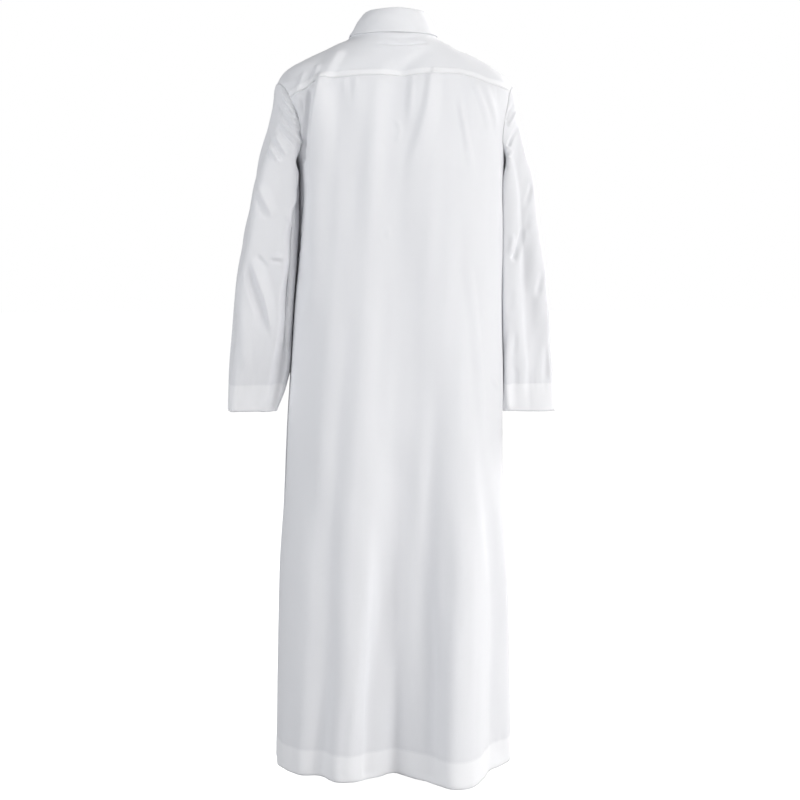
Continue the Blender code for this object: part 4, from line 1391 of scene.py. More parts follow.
YOKE_CREASES: tuple[Crease, ...] = (
    Crease(((372, 46, 6.5, 1.2), (385, 46.5, 6.5, 2.2), (402, 47, 7.5, 2.4), (418, 46.5, 7.5, 2.2),
            (432, 45, 7.5, 1)), crisp=0.2, top=0.2, bottom=0.2),
    Crease(((432, 46, 15, -1), (420, 54, 17, -2), (407, 63, 17, -2.4), (396, 72, 15, -1.8)),
           lean=0.2, crisp=0.1, top=0.2, bottom=0.1),
    Crease(((345, 47, 23, 2.4), (338, 55, 25, 4.8), (331, 67, 25, 5.4), (325, 79, 23, 4.6)),
           lean=-0.35, crisp=0.35, bottom=0),
    Crease(((319, 62, 8.5, 1.6), (316, 72, 8.5, 2.8), (311, 87, 8.5, 2.4)), lean=0.15, crisp=0.3, bottom=0),
    Crease(((306, 69, 11, 1.6), (302, 80, 11, 3), (297, 94, 11, 2.6)), lean=0.15, crisp=0.3, bottom=0),
    Crease(((378, 36, 9.5, -1.2), (400, 37, 9.5, -1.4), (424, 36, 9.5, -1)), top=0.3, bottom=0.3),
    Crease(((374, 43, 5, -1), (388, 43.5, 5, -2), (404, 44, 5, -2.2), (420, 43.5, 5, -1.8),
            (432, 42.5, 5, -1)),
           top=0.2, bottom=0.2),
)
SLEEVE_CREASES: dict[Side, tuple[Crease, ...]] = {
    Side.LEFT: (
        Crease(((303, 168, 11, -4), (302, 184, 13, -8), (300, 202, 16, -12), (296, 220, 22, -15),
                (294, 240, 24, -16), (294, 260, 20, -13), (291, 280, 21, -15), (288, 300, 22, -17),
                (288, 320, 21, -17), (286, 340, 23, -17), (282, 360, 23, -16), (279, 376, 23, -13),
                (275, 396, 21, -10), (273, 407, 20, -8)), lean=0.15, top=0.1, bottom=0),
        Crease(((292, 275, 7, -2), (291, 300, 7, -5), (290, 325, 7, -5), (288, 345, 7, -2)),
               top=0.2, bottom=0.2),
        Crease(((280, 87, 6.5, 2), (286, 98, 6.5, 5), (291.5, 108, 6.5, 6), (298, 121, 6.5, 5)),
               lean=0.3, crisp=0.6, top=0.15, bottom=0.15),
        Crease(((284, 87, 6, -1.5), (290, 98, 6, -3.5), (295.5, 108, 6, -4)),
               crisp=0.2, top=0.2, bottom=0.3),
        Crease(((281, 98, 6.5, 2), (287, 111, 6.5, 4.6), (293, 121, 6.5, 5.6), (298, 128, 6.5, 4.6)),
               lean=0.3, crisp=0.6, top=0.2, bottom=0.1),
        Crease(((277, 100, 6, -1.5), (282, 113, 6, -3.5), (288, 123, 6, -3.5), (294, 130, 6, -2.5)),
               crisp=0.2, top=0.2, bottom=0.2),
        Crease(((279, 118, 7.5, 2), (286, 128, 7.5, 5.4), (295, 136, 7.5, 7), (302, 144, 7.5, 6)),
               lean=0.3, crisp=0.7, top=0.2, bottom=0.1),
        Crease(((276, 124, 7, -2), (283, 134, 7, -5), (291, 143, 7, -5), (297, 150, 7, -3)),
               crisp=0.2, top=0.25, bottom=0.25),
        Crease(((299, 128, 5.5, -3), (302, 137, 5.5, -6), (304, 143, 5.5, -5)),
               crisp=0.2, top=0.3, bottom=0.2),
        Crease(((273, 130, 7.5, 2), (279, 142, 7.5, 5), (284, 151, 7.5, 5), (288, 158, 7.5, 2.4)),
               lean=0.3, crisp=0.7, top=0.25, bottom=0.25),
        Crease(((270, 136, 6.5, -2), (275, 147, 6.5, -4.4), (280, 156, 6.5, -4), (283, 163, 6.5, -1.6)),
               crisp=0.2, top=0.25, bottom=0.3),
        Crease(((267, 141, 8.5, 2), (272, 150, 8.5, 5), (277, 159, 8.5, 4.6), (281, 166, 8.5, 2.4)),
               lean=0.35, crisp=0.6, top=0.25, bottom=0.3),
        Crease(((264, 143, 6.5, -2), (268, 153, 6.5, -4), (272, 161, 6.5, -2)),
               crisp=0.2, top=0.3, bottom=0.3),
        Crease(((257, 181, 15, 2), (260, 190, 15, 6), (264, 200, 15, 7), (270, 212, 14, 6),
                (275, 221, 13, 3)), lean=0.45, crisp=0.6, bottom=0.3),
        Crease(((253, 190, 9, -2), (257, 202, 9, -4.4), (262, 213, 9, -3.6), (267, 222, 9, -1.6)),
               crisp=0.1, top=0.3, bottom=0.3),
        Crease(((285, 214, 7, 1), (290, 221, 7, 4.4), (296, 227, 6.5, 4)),
               lean=0.2, crisp=0.6, top=0.3, bottom=0.1),
        Crease(((249, 255, 15, 3), (253, 266, 16, 7), (258, 280, 16, 9), (265, 301, 16, 9),
                (270, 325, 16, 7), (273, 345, 14, 3)), lean=0.45, crisp=0.6, top=0.2, bottom=0.3),
        Crease(((245, 262, 11, -2), (249, 276, 12, -5), (255, 297, 13, -6), (261, 318, 13, -5),
                (265, 338, 11, -2)),
               crisp=0.1, top=0.25, bottom=0.3),
        Crease(((242, 300, 15, 1.5), (243, 325, 17, 3), (244, 352, 17, 3), (246, 378, 15, 2)),
               top=0.3, bottom=0.3),
        Crease(((255, 254, 8, -2), (262, 262, 8, -3.6), (269, 269, 8, -1.6)),
               crisp=0.2, top=0.3, bottom=0.3),
        Crease(((269, 257, 5.5, 2), (276, 257, 5.5, 4.6), (284, 258, 5.5, 4)),
               crisp=0.5, top=0.3, bottom=0.2),
        Crease(((269, 261, 5, -1.5), (276, 261.5, 5, -3), (283, 262, 5, -2)),
               crisp=0.2, top=0.3, bottom=0.2),
    ),
    Side.RIGHT: (
        Crease(((514, 104, 5.5, -1.6), (509, 113, 5.5, -3), (506, 121, 5.5, -3)),
               crisp=0.3, top=0.15, bottom=0.05),
        Crease(((517, 109, 6.5, 2), (512, 120, 6.5, 4), (508, 127, 6.5, 3.4)),
               crisp=0.4, top=0.2, bottom=0.1),
        Crease(((520, 120, 6.5, -1.5), (516, 130, 7, -2.6), (511, 139, 7, -4), (508, 147, 6.5, -4)),
               crisp=0.3, top=0.3, bottom=0.05),
        Crease(((513, 150, 6.5, 2), (508, 157, 6.5, 2.6)), crisp=0.2, top=0.3, bottom=0.02),
        Crease(((521, 226, 9, -2), (520, 238, 9, -6), (517, 250, 9, -8), (512, 261, 9, -7)),
               lean=0.3, crisp=0.3, top=0.2, bottom=0.1),
        Crease(((513, 232, 9, 2.4), (512, 244, 9, 4.4), (509, 256, 8.5, 2.4)),
               crisp=0.2, top=0.3, bottom=0.3),
        Crease(((533, 178, 8.5, -1), (530, 192, 8.5, -3), (524, 208, 8.5, -2)),
               crisp=0.1, top=0.3, bottom=0.3),
        Crease(((536, 208, 14, 2.4), (533, 222, 14, 3.8), (530, 236, 14, 2)),
               crisp=0.1, top=0.3, bottom=0.4),
        Crease(((543, 268, 11, -2), (540, 284, 11, -5), (537, 300, 11, -3)),
               crisp=0.2, top=0.2, bottom=0.35),
        Crease(((513, 285, 12, -1), (511, 300, 12, -2.4), (510, 318, 12, -1.4)), top=0.3, bottom=0.3),
        Crease(((510, 322, 10, 1.5), (508, 340, 11, 5), (507, 360, 11, 7), (507, 380, 11, 7),
                (508, 405, 11, 6)),
               lean=0.3, crisp=0.4, top=0.25, bottom=0),
        Crease(((516, 330, 6, -1.6), (515, 345, 6, -3), (513, 358, 6, -1.6)),
               crisp=0.3, top=0.3, bottom=0.3),
        Crease(((514, 365, 6, -1.6), (516, 376, 6, -3), (515, 388, 6, -2)), crisp=0.3, top=0.3, bottom=0.3),
        Crease(((547, 340, 13, -2), (547, 365, 13, -4.4), (546, 384, 13, -3)),
               crisp=0.2, top=0.3, bottom=0.2),
        Crease(((525, 300, 27, 1.5), (523, 340, 27, 2.4), (523, 380, 25, 2)), top=0.4, bottom=0.2),
    ),
}


# The pieces.


@dataclass
class BodyPanels:
    """Yoke, back and front, and the turned-up hem inside them."""

    wardrobe: Wardrobe
    form: BodyForm = BodyForm()
    cut: BodyCut = BodyCut()
    wall: float = 0.0008
    turn_up_wall: float = 0.0007
    crease_gain: float = 1.25
    yoke_waves: Waves = Waves((0.05, 0.09, 0.06), 0.0005, 11)
    back_waves: tuple[Waves, ...] = (
        Waves((0.045, 0.2, 0.34), 0.0005, 21), Waves((0.10, 0.3, 0.9), 0.0008, 22))
    front_waves: tuple[Waves, ...] = (
        Waves((0.045, 0.2, 0.34), 0.0005, 23), Waves((0.10, 0.3, 0.9), 0.0008, 24))
    waves_start: float = 0.020
    hem_waves: Waves = Waves((0.07, 0.07, 0.16), 0.0008, 31)
    front_hem_start: float = 0.9
    calm_half_width: float = 0.017
    calm_ease: float = 0.030
    calm_end: float = -0.40
    slit_end: float = -0.330
    yoke_seam: Seam = Seam(ridge=0.8, ridge_width=12.0, tuck=0.35, tuck_width=1.0)
    under_seam: Seam = Seam(tuck=-0.25, tuck_width=1.6)
    armhole_seam: Seam = Seam(tuck=0.15, tuck_width=0.9)
    side_seam: Seam = Seam(tuck=0.9, tuck_width=3.0)
    neck_seam: Seam = Seam(tuck=0.3, tuck_width=3.0)
    hem_pucker: Pucker = Pucker(seed=5)
    stitch_in: float = 0.0020
    double_in: float = 0.0115
    hold_samples: int = 300
    hold_start: float = 0.0010
    hold_width: float = 0.0060
    turn_up_rows: int = 12
    turn_up_gap: float = 0.0009
    lines: list[tuple[Array, Array]] = field(default_factory=list)
    inside: list[Array] = field(default_factory=list)
    seen: SeenCloth = field(init=False)

    def __post_init__(self) -> None:
        """Gather the yoke and the back as one seen surface."""
        layout = np.concatenate([self.cut.yoke().reshape(-1, 2), self.cut.back().reshape(-1, 2)])
        angle, level = layout.T
        self.seen = SeenCloth(self.form.point(angle, level), self.form.normal(angle, level))

    def cloth(self, name: str, layout: Array) -> Cloth:
        """Start a piece on the body surface at (angle, level) pairs."""
        angle, level = layout[..., 0], layout[..., 1]
        return Cloth(name, self.form.point(angle, level), self.form.normal(angle, level))

    def hem_relief(self, piece: Cloth, layout: Array, start: float) -> None:
        """Pucker the hem's stitch line, double the cloth below it and round its folded edge.

        Args:
            piece: The panel.
            layout: Its (angle, level) grid.
            start: Distance round the hem at which the puckers start.
        """
        level = layout[..., 1]
        girth = self.girth(layout) + start
        above_edge = smooth_step((level - HEM_LEVEL + 0.003) / 0.01)
        piece.relief += self.hem_pucker.height(level - HEM_STITCH_LEVEL, girth) * above_edge
        piece.doubled = np.maximum(piece.doubled, doubled_below(HEM_STITCH_LEVEL - level))
        in_hem = smooth_step((HEM_STITCH_LEVEL + 0.03 - level) / 0.05)
        piece.relief += self.hem_waves.height(piece.base) * in_hem
        piece.relief -= folded_edge(level - HEM_LEVEL)

    def hold_armholes(self, piece: Cloth) -> None:
        """Ease the relief to nothing towards the armholes' edges, where the sleeves are sewn on."""
        turn = np.linspace(0.0, 2.0 * math.pi, self.hold_samples, endpoint=False)
        spots = piece.base.reshape(-1, 3)
        for hole in (self.cut.left, self.cut.right):
            angle, level = hole.place(turn).T
            edge = self.form.point(angle, level)
            apart = (spots ** 2).sum(-1)[:, None] - 2.0 * spots @ edge.T + (edge ** 2).sum(-1)
            distance = np.sqrt(np.maximum(apart.min(1), 0.0)).reshape(piece.relief.shape)
            piece.relief *= smooth_step((distance - self.hold_start) / self.hold_width)

    def girth(self, layout: Array) -> Array:
        """Distance round the body at the hem's level for each angle."""
        angles = layout[-1, :, 0]
        ring = self.form.point(angles, np.full_like(angles, HEM_STITCH_LEVEL))
        return np.broadcast_to(run_lengths(ring[None], 1), layout.shape[:2])

    def yoke(self) -> None:
        """Shape and make the shoulder yoke."""
        layout = self.cut.yoke()
        piece = self.cloth("shoulder_yoke", layout)
        down = run_lengths(piece.base, 0)
        outer = down[-1:] - down
        arc = self.cut.arc_columns
        seam = np.zeros(layout.shape[1])
        seam[arc:-arc] = 1.0
        piece.relief += self.yoke_seam.height(outer) * seam + self.armhole_seam.height(outer) * (1.0 - seam)
        piece.relief += self.neck_seam.height(down)
        across = run_lengths(piece.base, 1)
        piece.relief += self.yoke_seam.height(across) + self.yoke_seam.height(across[:, -1:] - across)
        piece.relief += self.yoke_waves.height(piece.base) * smooth_step(outer / 0.012)
        piece.crease(YOKE_CREASES + BACK_CREASES, self.seen.place, self.crease_gain)
        self.hold_armholes(piece)
        # Doubled allowances along the seams, which the cloth material colours whiter as painted light.
        piece.doubled = (0.3 + 0.6 * seam) * smooth_step((0.0120 - outer) / 0.002)
        seam_line, seam_normals = piece.contour(-outer, -self.double_in)
        self.lines.append((seam_line[arc:-arc], seam_normals[arc:-arc]))
        self.lines.append(piece.contour(-outer, -self.stitch_in))
        piece.finish("yoke", self.wall, self.wardrobe.cloth, (0.50, 0.24), 0.071, "draped",
                     ["collar_stand", "sleeve_left", "sleeve_right"])

    def back(self) -> None:
        """Shape and make the back panel."""
        layout = self.cut.back()
        piece = self.cloth("back_panel", layout)
        down = run_lengths(piece.base, 0)
        across = run_lengths(piece.base, 1)
        self.sides(piece, layout, across)
        piece.relief += self.under_seam.height(down)
        for wave in self.back_waves:
            piece.relief += wave.height(piece.base) * smooth_step(down / self.waves_start)
        piece.crease(YOKE_CREASES + BACK_CREASES, self.seen.place, self.crease_gain)
        self.hold_armholes(piece)
        self.hem_relief(piece, layout, 0.0)
        self.inside.append(self.turned(piece))
        self.lines.append(piece.contour(-layout[..., 1], -HEM_STITCH_LEVEL))
        piece.finish("back", self.wall, self.wardrobe.cloth, (0.64, 1.32), 0.78, "hung",
                     ["yoke", "sleeve_left", "sleeve_right"])

    def sides(self, piece: Cloth, layout: Array, across: Array) -> None:
        """Seam relief at both side edges: armhole ridges above the armpits, side seams below."""
        row = np.arange(layout.shape[0])[:, None]
        low = smooth_step((row - self.cut.upper_rows) / 3.0 + 0.5)
        for distance in (across, across[:, -1:] - across):
            ridge, seam = self.armhole_seam.height(distance), self.side_seam.height(distance)
            piece.relief += ridge * (1.0 - low) + seam * low

    def front(self) -> None:
        """Shape and make the front panel."""
        layout = self.cut.front()
        piece = self.cloth("front_panel", layout)
        down = run_lengths(piece.base, 0)
        across = run_lengths(piece.base, 1)
        self.sides(piece, layout, across)
        piece.relief += self.under_seam.height(down)
        centre = np.abs(piece.base[..., 0]) * np.where(layout[..., 1] > self.calm_end, 1.0, 9.0)
        beside = smooth_step((centre - self.calm_half_width) / self.calm_ease)
        calm = smooth_step(down / self.waves_start) * beside
        for wave in self.front_waves:
            piece.relief += wave.height(piece.base) * calm
        piece.crease(FRONT_CREASES, self.form.front_place)
        self.hold_armholes(piece)
        self.hem_relief(piece, layout, self.front_hem_start)
        self.inside.append(self.turned(piece))
        self.lines.append(piece.contour(-layout[..., 1], -HEM_STITCH_LEVEL))
        rows, columns = layout.shape[:2]
        skipped = np.zeros((rows - 1, columns - 1), bool)
        skipped[:, columns // 2 - 1] = layout[:-1, columns // 2, 1] > self.slit_end
        piece.finish("front", self.wall, self.wardrobe.cloth, (0.64, 1.34), 0.80, "hung",
                     ["yoke", "sleeve_left", "sleeve_right"], skipped)

    def turned(self, piece: Cloth) -> Array:
        """The lowest rows of a panel, moved in by its wall and a gap."""
        rows = slice(-self.turn_up_rows, None)
        return piece.points[rows] - piece.shown_normals()[rows] * (self.wall + self.turn_up_gap)

    def hem(self) -> None:
        """Turned-up hem, which follows the panels from inside."""
        back, front = self.inside
        points = np.concatenate([back, front[:, 1:-1]], 1)
        piece = Cloth("hem_turn_up", points, grid_normals(points, True), closed=True)
        piece.doubled[:] = 1.0
        piece.finish("hem_turnup", self.turn_up_wall, self.wardrobe.cloth, (1.50, 0.05), None, "folded",
                     ["back", "front"])

    def build(self) -> None:
        """Make every body piece and sew its seams and hem."""
        self.yoke()
        self.back()
        self.front()
        self.hem()
        sew("body_stitching", self.lines, self.wardrobe.thread)


@dataclass
class Sleeve:
    """One sleeve and the turned-up hem inside its end."""

    side: Side
    wardrobe: Wardrobe
    wall: float = 0.0008
    turn_up_wall: float = 0.0007
    fine: Waves = Waves((0.05, 0.07, 0.12), 0.0006, 51)
    broad: Waves = Waves((0.12, 0.12, 0.2), 0.0012, 52)
    root_ease: float = 0.003
    seam_ease: float = 0.002
    girth_row: int = -14
    set_in: Seam = Seam(tuck=-0.2, tuck_width=5.0)
    pucker: Pucker = Pucker(seed=9, depth=0.6, above=16.0, below=10.0)
    stitch_in: float = 0.0022
    turn_up_rows: int = 16
    turn_up_gap: float = 0.0009

    def build(self) -> None:
        """Shape and make the sleeve and its cuff hem."""
        form = SleeveForm(self.side)
        sign = -self.side.value
        normals = grid_normals(form.grid, True) * sign
        piece = Cloth(f"{self.side.word}_sleeve", form.grid, normals, closed=True, flipped=sign < 0.0)
        down = run_lengths(piece.base, 0)
        calm = 1.0 - form.rest
        piece.relief += self.fine.height(piece.base) * smooth_step((down - 0.004) / 0.02) * calm
        piece.relief += self.broad.height(piece.base) * smooth_step((down - 0.01) / 0.05) * calm
        piece.crease(SLEEVE_CREASES[self.side], SeenCloth(form.grid, normals).place)
        piece.relief *= smooth_step(down / self.root_ease)
        piece.relief += self.set_in.height(down) * smooth_step(down / self.seam_ease)
        level, stitch = piece.base[..., 2], form.cuff_stitch_level
        girth = np.broadcast_to(run_lengths(piece.base[[self.girth_row]], 1), level.shape)
        piece.relief += self.pucker.height(level - stitch, girth)
        piece.doubled = doubled_below(stitch - level)
        piece.relief -= folded_edge(level - form.rings[-1].level)
        piece.finish(f"sleeve_{self.side.word}", self.wall, self.wardrobe.cloth, (0.46, 0.62), 0.24, "hung",
                     ["yoke", "back", "front"])
        lines = [piece.contour(down, self.stitch_in), piece.contour(-level, -stitch)]
        sew(f"{self.side.word}_sleeve_stitching", lines, self.wardrobe.thread)
        self.cuff_hem(piece)

    def cuff_hem(self, sleeve: Cloth) -> None:
        """Turned-up hem, which follows the sleeve's end from inside."""
        rows = slice(-self.turn_up_rows, None)
        normals = sleeve.shown_normals()[rows]
        points = sleeve.points[rows] - normals * (self.wall + self.turn_up_gap)
        piece = Cloth(f"{self.side.word}_cuff_hem", points, normals, closed=True, flipped=sleeve.flipped)
        piece.doubled[:] = 1.0
        piece.finish(f"cuff_hem_{self.side.word}", self.turn_up_wall, self.wardrobe.cloth, (0.34, 0.054),
                     None, "folded", [f"sleeve_{self.side.word}"])


@dataclass(frozen=True)
class CollarRow:
    """The collar at one angle, in degrees from the centre back."""

    angle: float
    stand_top: float
    leaf_level: float
    leaf_standoff: float


@dataclass
class Collar:
    """Collar stand round the neck and the leaf folded down over it."""

    wardrobe: Wardrobe
    form: BodyForm = BodyForm()
    cut: BodyCut = BodyCut()
    rows: tuple[CollarRow, ...] = (
        CollarRow(0.0, 0.0340, -0.0115, 0.0028),
        CollarRow(50.0, 0.0320, -0.0115, 0.0026),
        CollarRow(90.0, 0.0265, -0.0105, 0.0030),
        CollarRow(130.0, 0.0030, -0.0250, 0.0080),
        CollarRow(158.0, -0.0140, -0.0500, 0.0060),
        CollarRow(192.0, -0.0170, -0.0850, 0.0060),
    )
    top: Ring = Ring(0.0, 0.000, 0.0575, 0.0590, 0.0600, 2.1)
    lift: float = 0.0006
    lap_start: float = math.radians(-155.0)
    lap_rise: float = 0.0024
    stand_lap: float = math.radians(11.6)
    leaf_top_end: float = math.radians(170.0)
    leaf_foot_end: float = math.radians(157.0)
    bulge: float = 0.0065
    crest: float = 0.0016
    wall: float = 0.0015
    seat: float = 0.0009
    stitch_in: float = 0.0050
    stand_size: tuple[int, int] = (25, 261)
    leaf_size: tuple[int, int] = (41, 241)
    leaf_crowding: float = 1.25
    stand_waves: Waves = Waves((0.05, 0.05, 0.03), 0.0002, 61)
    leaf_waves: Waves = Waves((0.05, 0.05, 0.03), 0.0003, 62)
    thickening: float = 0.2

    def column(self, name: str, angle: Array) -> Array:
        """One column of the collar's table."""
        places = [math.radians(row.angle) for row in self.rows]
        return smooth_table(np.abs(angle), places, [getattr(row, name) for row in self.rows])

    def stand_points(self, angle: Array, share: float) -> Array:
        """Points of the stand; share 0 is its top edge and 1 the neck seam. The left end laps over.

        Args:
            angle: Angles from the centre back.
            share: Share of the way down.

        Returns:
            Points, one for each angle.
        """
        across, along = superellipse(angle, self.top.squareness)
        depth = np.where(along < 0.0, self.top.back_depth, self.top.front_depth)
        top = np.stack([self.top.centre + self.top.half_width * across, depth * along,
                        self.column("stand_top", angle)], -1)
        foot = self.form.point(angle, 0.0) + np.array([0.0, 0.0, self.lift])
        outward = unit(np.stack([across, along, np.zeros_like(across)], -1))
        lap_length = self.lap_start + math.pi - self.stand_lap
        lap = self.lap_rise * smooth_step((self.lap_start - angle) / lap_length)
        return top + (foot - top) * share + outward * lap[..., None]

    def build(self) -> None:
        """Shape and make the stand and the leaf."""
        lap = self.cut.strip(0.0)
        rows, columns = self.stand_size
        angle = np.linspace(lap[0] - 2.0 * math.pi, lap[-1], columns)
        stand = np.array([self.stand_points(angle, share) for share in np.linspace(0.0, 1.0, rows)])
        piece = Cloth("neck_stand", stand, grid_normals(stand, False))
        piece.relief += self.stand_waves.height(stand)
        piece.doubled[:] = self.thickening
        piece.finish("collar_stand", self.wall, self.wardrobe.cloth, (0.46, 0.040), 0.0155, "folded",
                     ["yoke", "front"])
        self.leaf()

    def leaf(self) -> None:
        """The leaf: a curve from the stand's crest, out over a shoulder point and down to its foot."""
        rows, columns = self.leaf_size
        crest_angle = np.linspace(-self.leaf_top_end, self.leaf_top_end, columns)
        foot_angle = np.linspace(-self.leaf_foot_end, self.leaf_foot_end, columns)
        across, along = superellipse(crest_angle, self.top.squareness)
        outward = unit(np.stack([across, along, np.zeros_like(across)], -1))
        upward = np.array([0.0, 0.0, 1.0])
        crest = self.stand_points(crest_angle, 0.0) + upward * (self.wall + self.seat)
        crest = crest - outward * self.wall / 2.0
        shoulder = crest + outward * self.bulge + upward * self.crest
        level = self.column("leaf_level", foot_angle)
        standoff = self.column("leaf_standoff", foot_angle)[:, None]
        foot = self.form.point(foot_angle, level) + self.form.normal(foot_angle, level) * standoff
        share = (np.linspace(0.0, 1.0, rows) ** self.leaf_crowding)[:, None, None]
        grid = (1.0 - share) ** 2 * crest + 2.0 * share * (1.0 - share) * shoulder + share ** 2 * foot
        piece = Cloth("collar_fold", grid, grid_normals(grid, False))
        piece.relief += self.leaf_waves.height(grid)
        piece.doubled[:] = self.thickening
        down = run_lengths(grid, 0)
        lines = [piece.contour(down - down[-1:], -self.stitch_in)]
        lines += [piece.line(slice(3, -4), column) for column in (4, -5)]
        sew("collar_stitching", lines, self.wardrobe.thread)
        piece.finish("collar_leaf", self.wall, self.wardrobe.cloth, (0.42, 0.075), 0.024, "folded",
                     ["collar_stand", "yoke", "front"])


@dataclass
class Placket:
    """Strip over the neck slit, with its stitching and buttonholes."""

    wardrobe: Wardrobe
    form: BodyForm = BodyForm()
    size: tuple[int, int] = (150, 25)
    wall: float = 0.0014
    half_width: float = 0.016
    edge_drop: float = 0.0009
    thickening: float = 0.9
    foot: float = -0.360
    top: float = -0.009
    rise: float = 0.0018
    stitch_in: float = 0.0020
    box_height: float = 0.028
    hole_half_length: float = 0.0078
    hole_half_width: float = 0.0009
    levels: tuple[float, ...] = (-0.062, -0.142, -0.222, -0.302)
    hole_thread: Thread = Thread(pitch=0.0011, length=0.0012, radius=0.00018)

    def place(self, x: Array, level: Array, lift: float = 0.0) -> tuple[Array, Array]:
        """Points on the strip, or lifted off it, and the normals there."""
        angle = self.form.front_angle(x, level)
        normals = self.form.normal(angle, level)
        return self.form.point(angle, level) + normals * (self.rise + lift), normals

    def build(self) -> None:
        """Shape and make the strip: the front's own surface at its centre, moved out by one layer."""
        rows, columns = self.size
        x = np.linspace(self.half_width, -self.half_width, columns)
        level = np.broadcast_to(np.linspace(self.top, self.foot, rows)[:, None], self.size)
        piece = Cloth("neck_placket", *self.place(x, level))
        edge = np.minimum(np.abs(x - self.half_width), np.abs(x + self.half_width))[None, :]
        piece.relief -= self.edge_drop * np.exp(-(edge / self.edge_drop) ** 2)
        piece.doubled[:] = self.thickening
        piece.finish("placket", self.wall, self.wardrobe.cloth, (0.034, 0.36), None, "laid", ["front"])
        self.sew_strip()

    def sew_strip(self) -> None:
        """Sew the strip's edges, the box at its foot and the four buttonholes."""
        side = self.half_width - self.stitch_in
        end, box = self.foot + self.stitch_in, self.foot + self.box_height
        down = np.linspace(self.top - self.stitch_in, end, 90)
        across = np.linspace(-side, side, 15)
        lines = [self.place(np.full_like(down, x), down, STITCH_LIFT) for x in (-side, side)]
        lines += [self.place(across, np.full_like(across, level), STITCH_LIFT) for level in (end, box)]
        sew("placket_stitching", lines, self.wardrobe.thread)
        holes = []
        for level in self.levels:
            run = np.linspace(level + self.hole_half_length, level - self.hole_half_length, 9)
            bar = np.linspace(-self.hole_half_width, self.hole_half_width, 3)
            holes += [self.place(np.full_like(run, x), run, STITCH_LIFT) for x in bar[[0, -1]]]
            holes += [self.place(bar, np.full_like(bar, end), STITCH_LIFT) for end in run[[0, -1]]]
        sew("buttonholes", holes, self.wardrobe.thread, self.hole_thread)


@dataclass(frozen=True)
class Button:
    """Four-hole shirt button turned from a profile, and the thread through its holes."""

    radius: float = 0.0055
    thickness: float = 0.0024
    edge: float = 0.0006
    plate: float = 0.5
    hole_radius: float = 0.00080
    hole_place: float = 0.00130
    gap: float = 0.0006
    strand: float = 0.00026

    def quarter(self) -> tuple[Array, Array]:
        """Edge of a quarter of the middle plate, and the hole's edge towards each of its points.

        The edge runs out along X, round the arc and back along Y, without the last point at the centre.
        """
        reach = self.radius * self.plate
        out = np.linspace(0.0, reach, 5)
        turn = np.linspace(0.0, math.pi / 2.0, 9)[1:-1]
        arc = reach * np.stack([np.cos(turn), np.sin(turn)], -1)
        zero = np.zeros(5)
        edge = np.concatenate([np.stack([out, zero], -1), arc, np.stack([zero, out[::-1]], -1)[:-1]])
        centre = np.full(2, self.hole_place)
        return edge, centre + unit(edge - centre) * self.hole_radius

    def profile(self) -> Array:
        """(radius, height) rows from the middle plate out over the rim and back under."""
        r, h, e = self.radius, self.thickness, self.edge
        return np.array([
            (self.plate * r, 0.60 * h), (0.60 * r, 0.66 * h), (0.68 * r, 0.88 * h), (0.84 * r, h),
            (0.93 * r, 0.95 * h), (r - 0.3 * e, 0.78 * h), (r, 0.45 * h), (r - 0.25 * e, 0.15 * h),
            (r - e, 0.0), (self.plate * r, 0.0)])

    def shape(self) -> tuple[Array, Array]:
        """Closed mesh of the button on z = 0: two holed plates, the hole walls and the turned rim."""
        edge, hole = self.quarter()
        count = len(edge)
        profile = self.profile()
        top, faces, points = profile[0, 1], [], []
        for number in range(4):
            turn = number * math.pi / 2.0
            turned = np.array([[math.cos(turn), math.sin(turn)], [-math.sin(turn), math.cos(turn)]])
            ring = [np.column_stack([part @ turned, np.full(count, level)])
                    for part, level in ((edge, top), (hole, top), (hole, 0.0), (edge, 0.0))]
            points.append(np.concatenate(ring))
            faces.append(grid_quads(4, count, True, True) + number * 4 * count)
        turn = np.linspace(0.0, 2.0 * math.pi, 33)[:-1]
        rim = np.stack([profile[:, :1] * np.cos(turn), profile[:, :1] * np.sin(turn),
                        np.broadcast_to(profile[:, 1:], (len(profile), 32))], -1)
        points.append(rim.reshape(-1, 3))
        faces.append(grid_quads(len(profile), 32, True, False) + 16 * count)
        points, faces = np.concatenate(points), np.concatenate(faces)
        _, first, same = np.unique(np.round(points / 1e-7), axis=0, return_index=True, return_inverse=True)
        return points[first], same.reshape(-1)[faces]

    def strands(self) -> list[tuple[Array, Array]]:
        """Rods of thread: three over each pair of holes and a shank of four under the middle."""
        place, top = self.hole_place, 0.60 * self.thickness + 0.8 * self.strand
        bar, quads = stitch_shape(2.0 * place + 1.2 * self.hole_radius, self.strand)
        rods = [(bar + np.array([0.0, side * place + step * 1.7 * self.strand, top]), quads)
                for side in (-1.0, 1.0) for step in (-1.0, 0.0, 1.0)]
        post, quads = stitch_shape(self.gap + 0.4 * self.thickness, 2.0 * self.strand)
        post = np.stack([post[:, 2], post[:, 1], -post[:, 0] - self.gap / 2.0 + 0.1 * self.thickness], -1)
        return rods + [(post + np.array([x * place, y * place, 0.0]), quads) for x in (-1.0, 1.0)
                       for y in (-1.0, 1.0)]


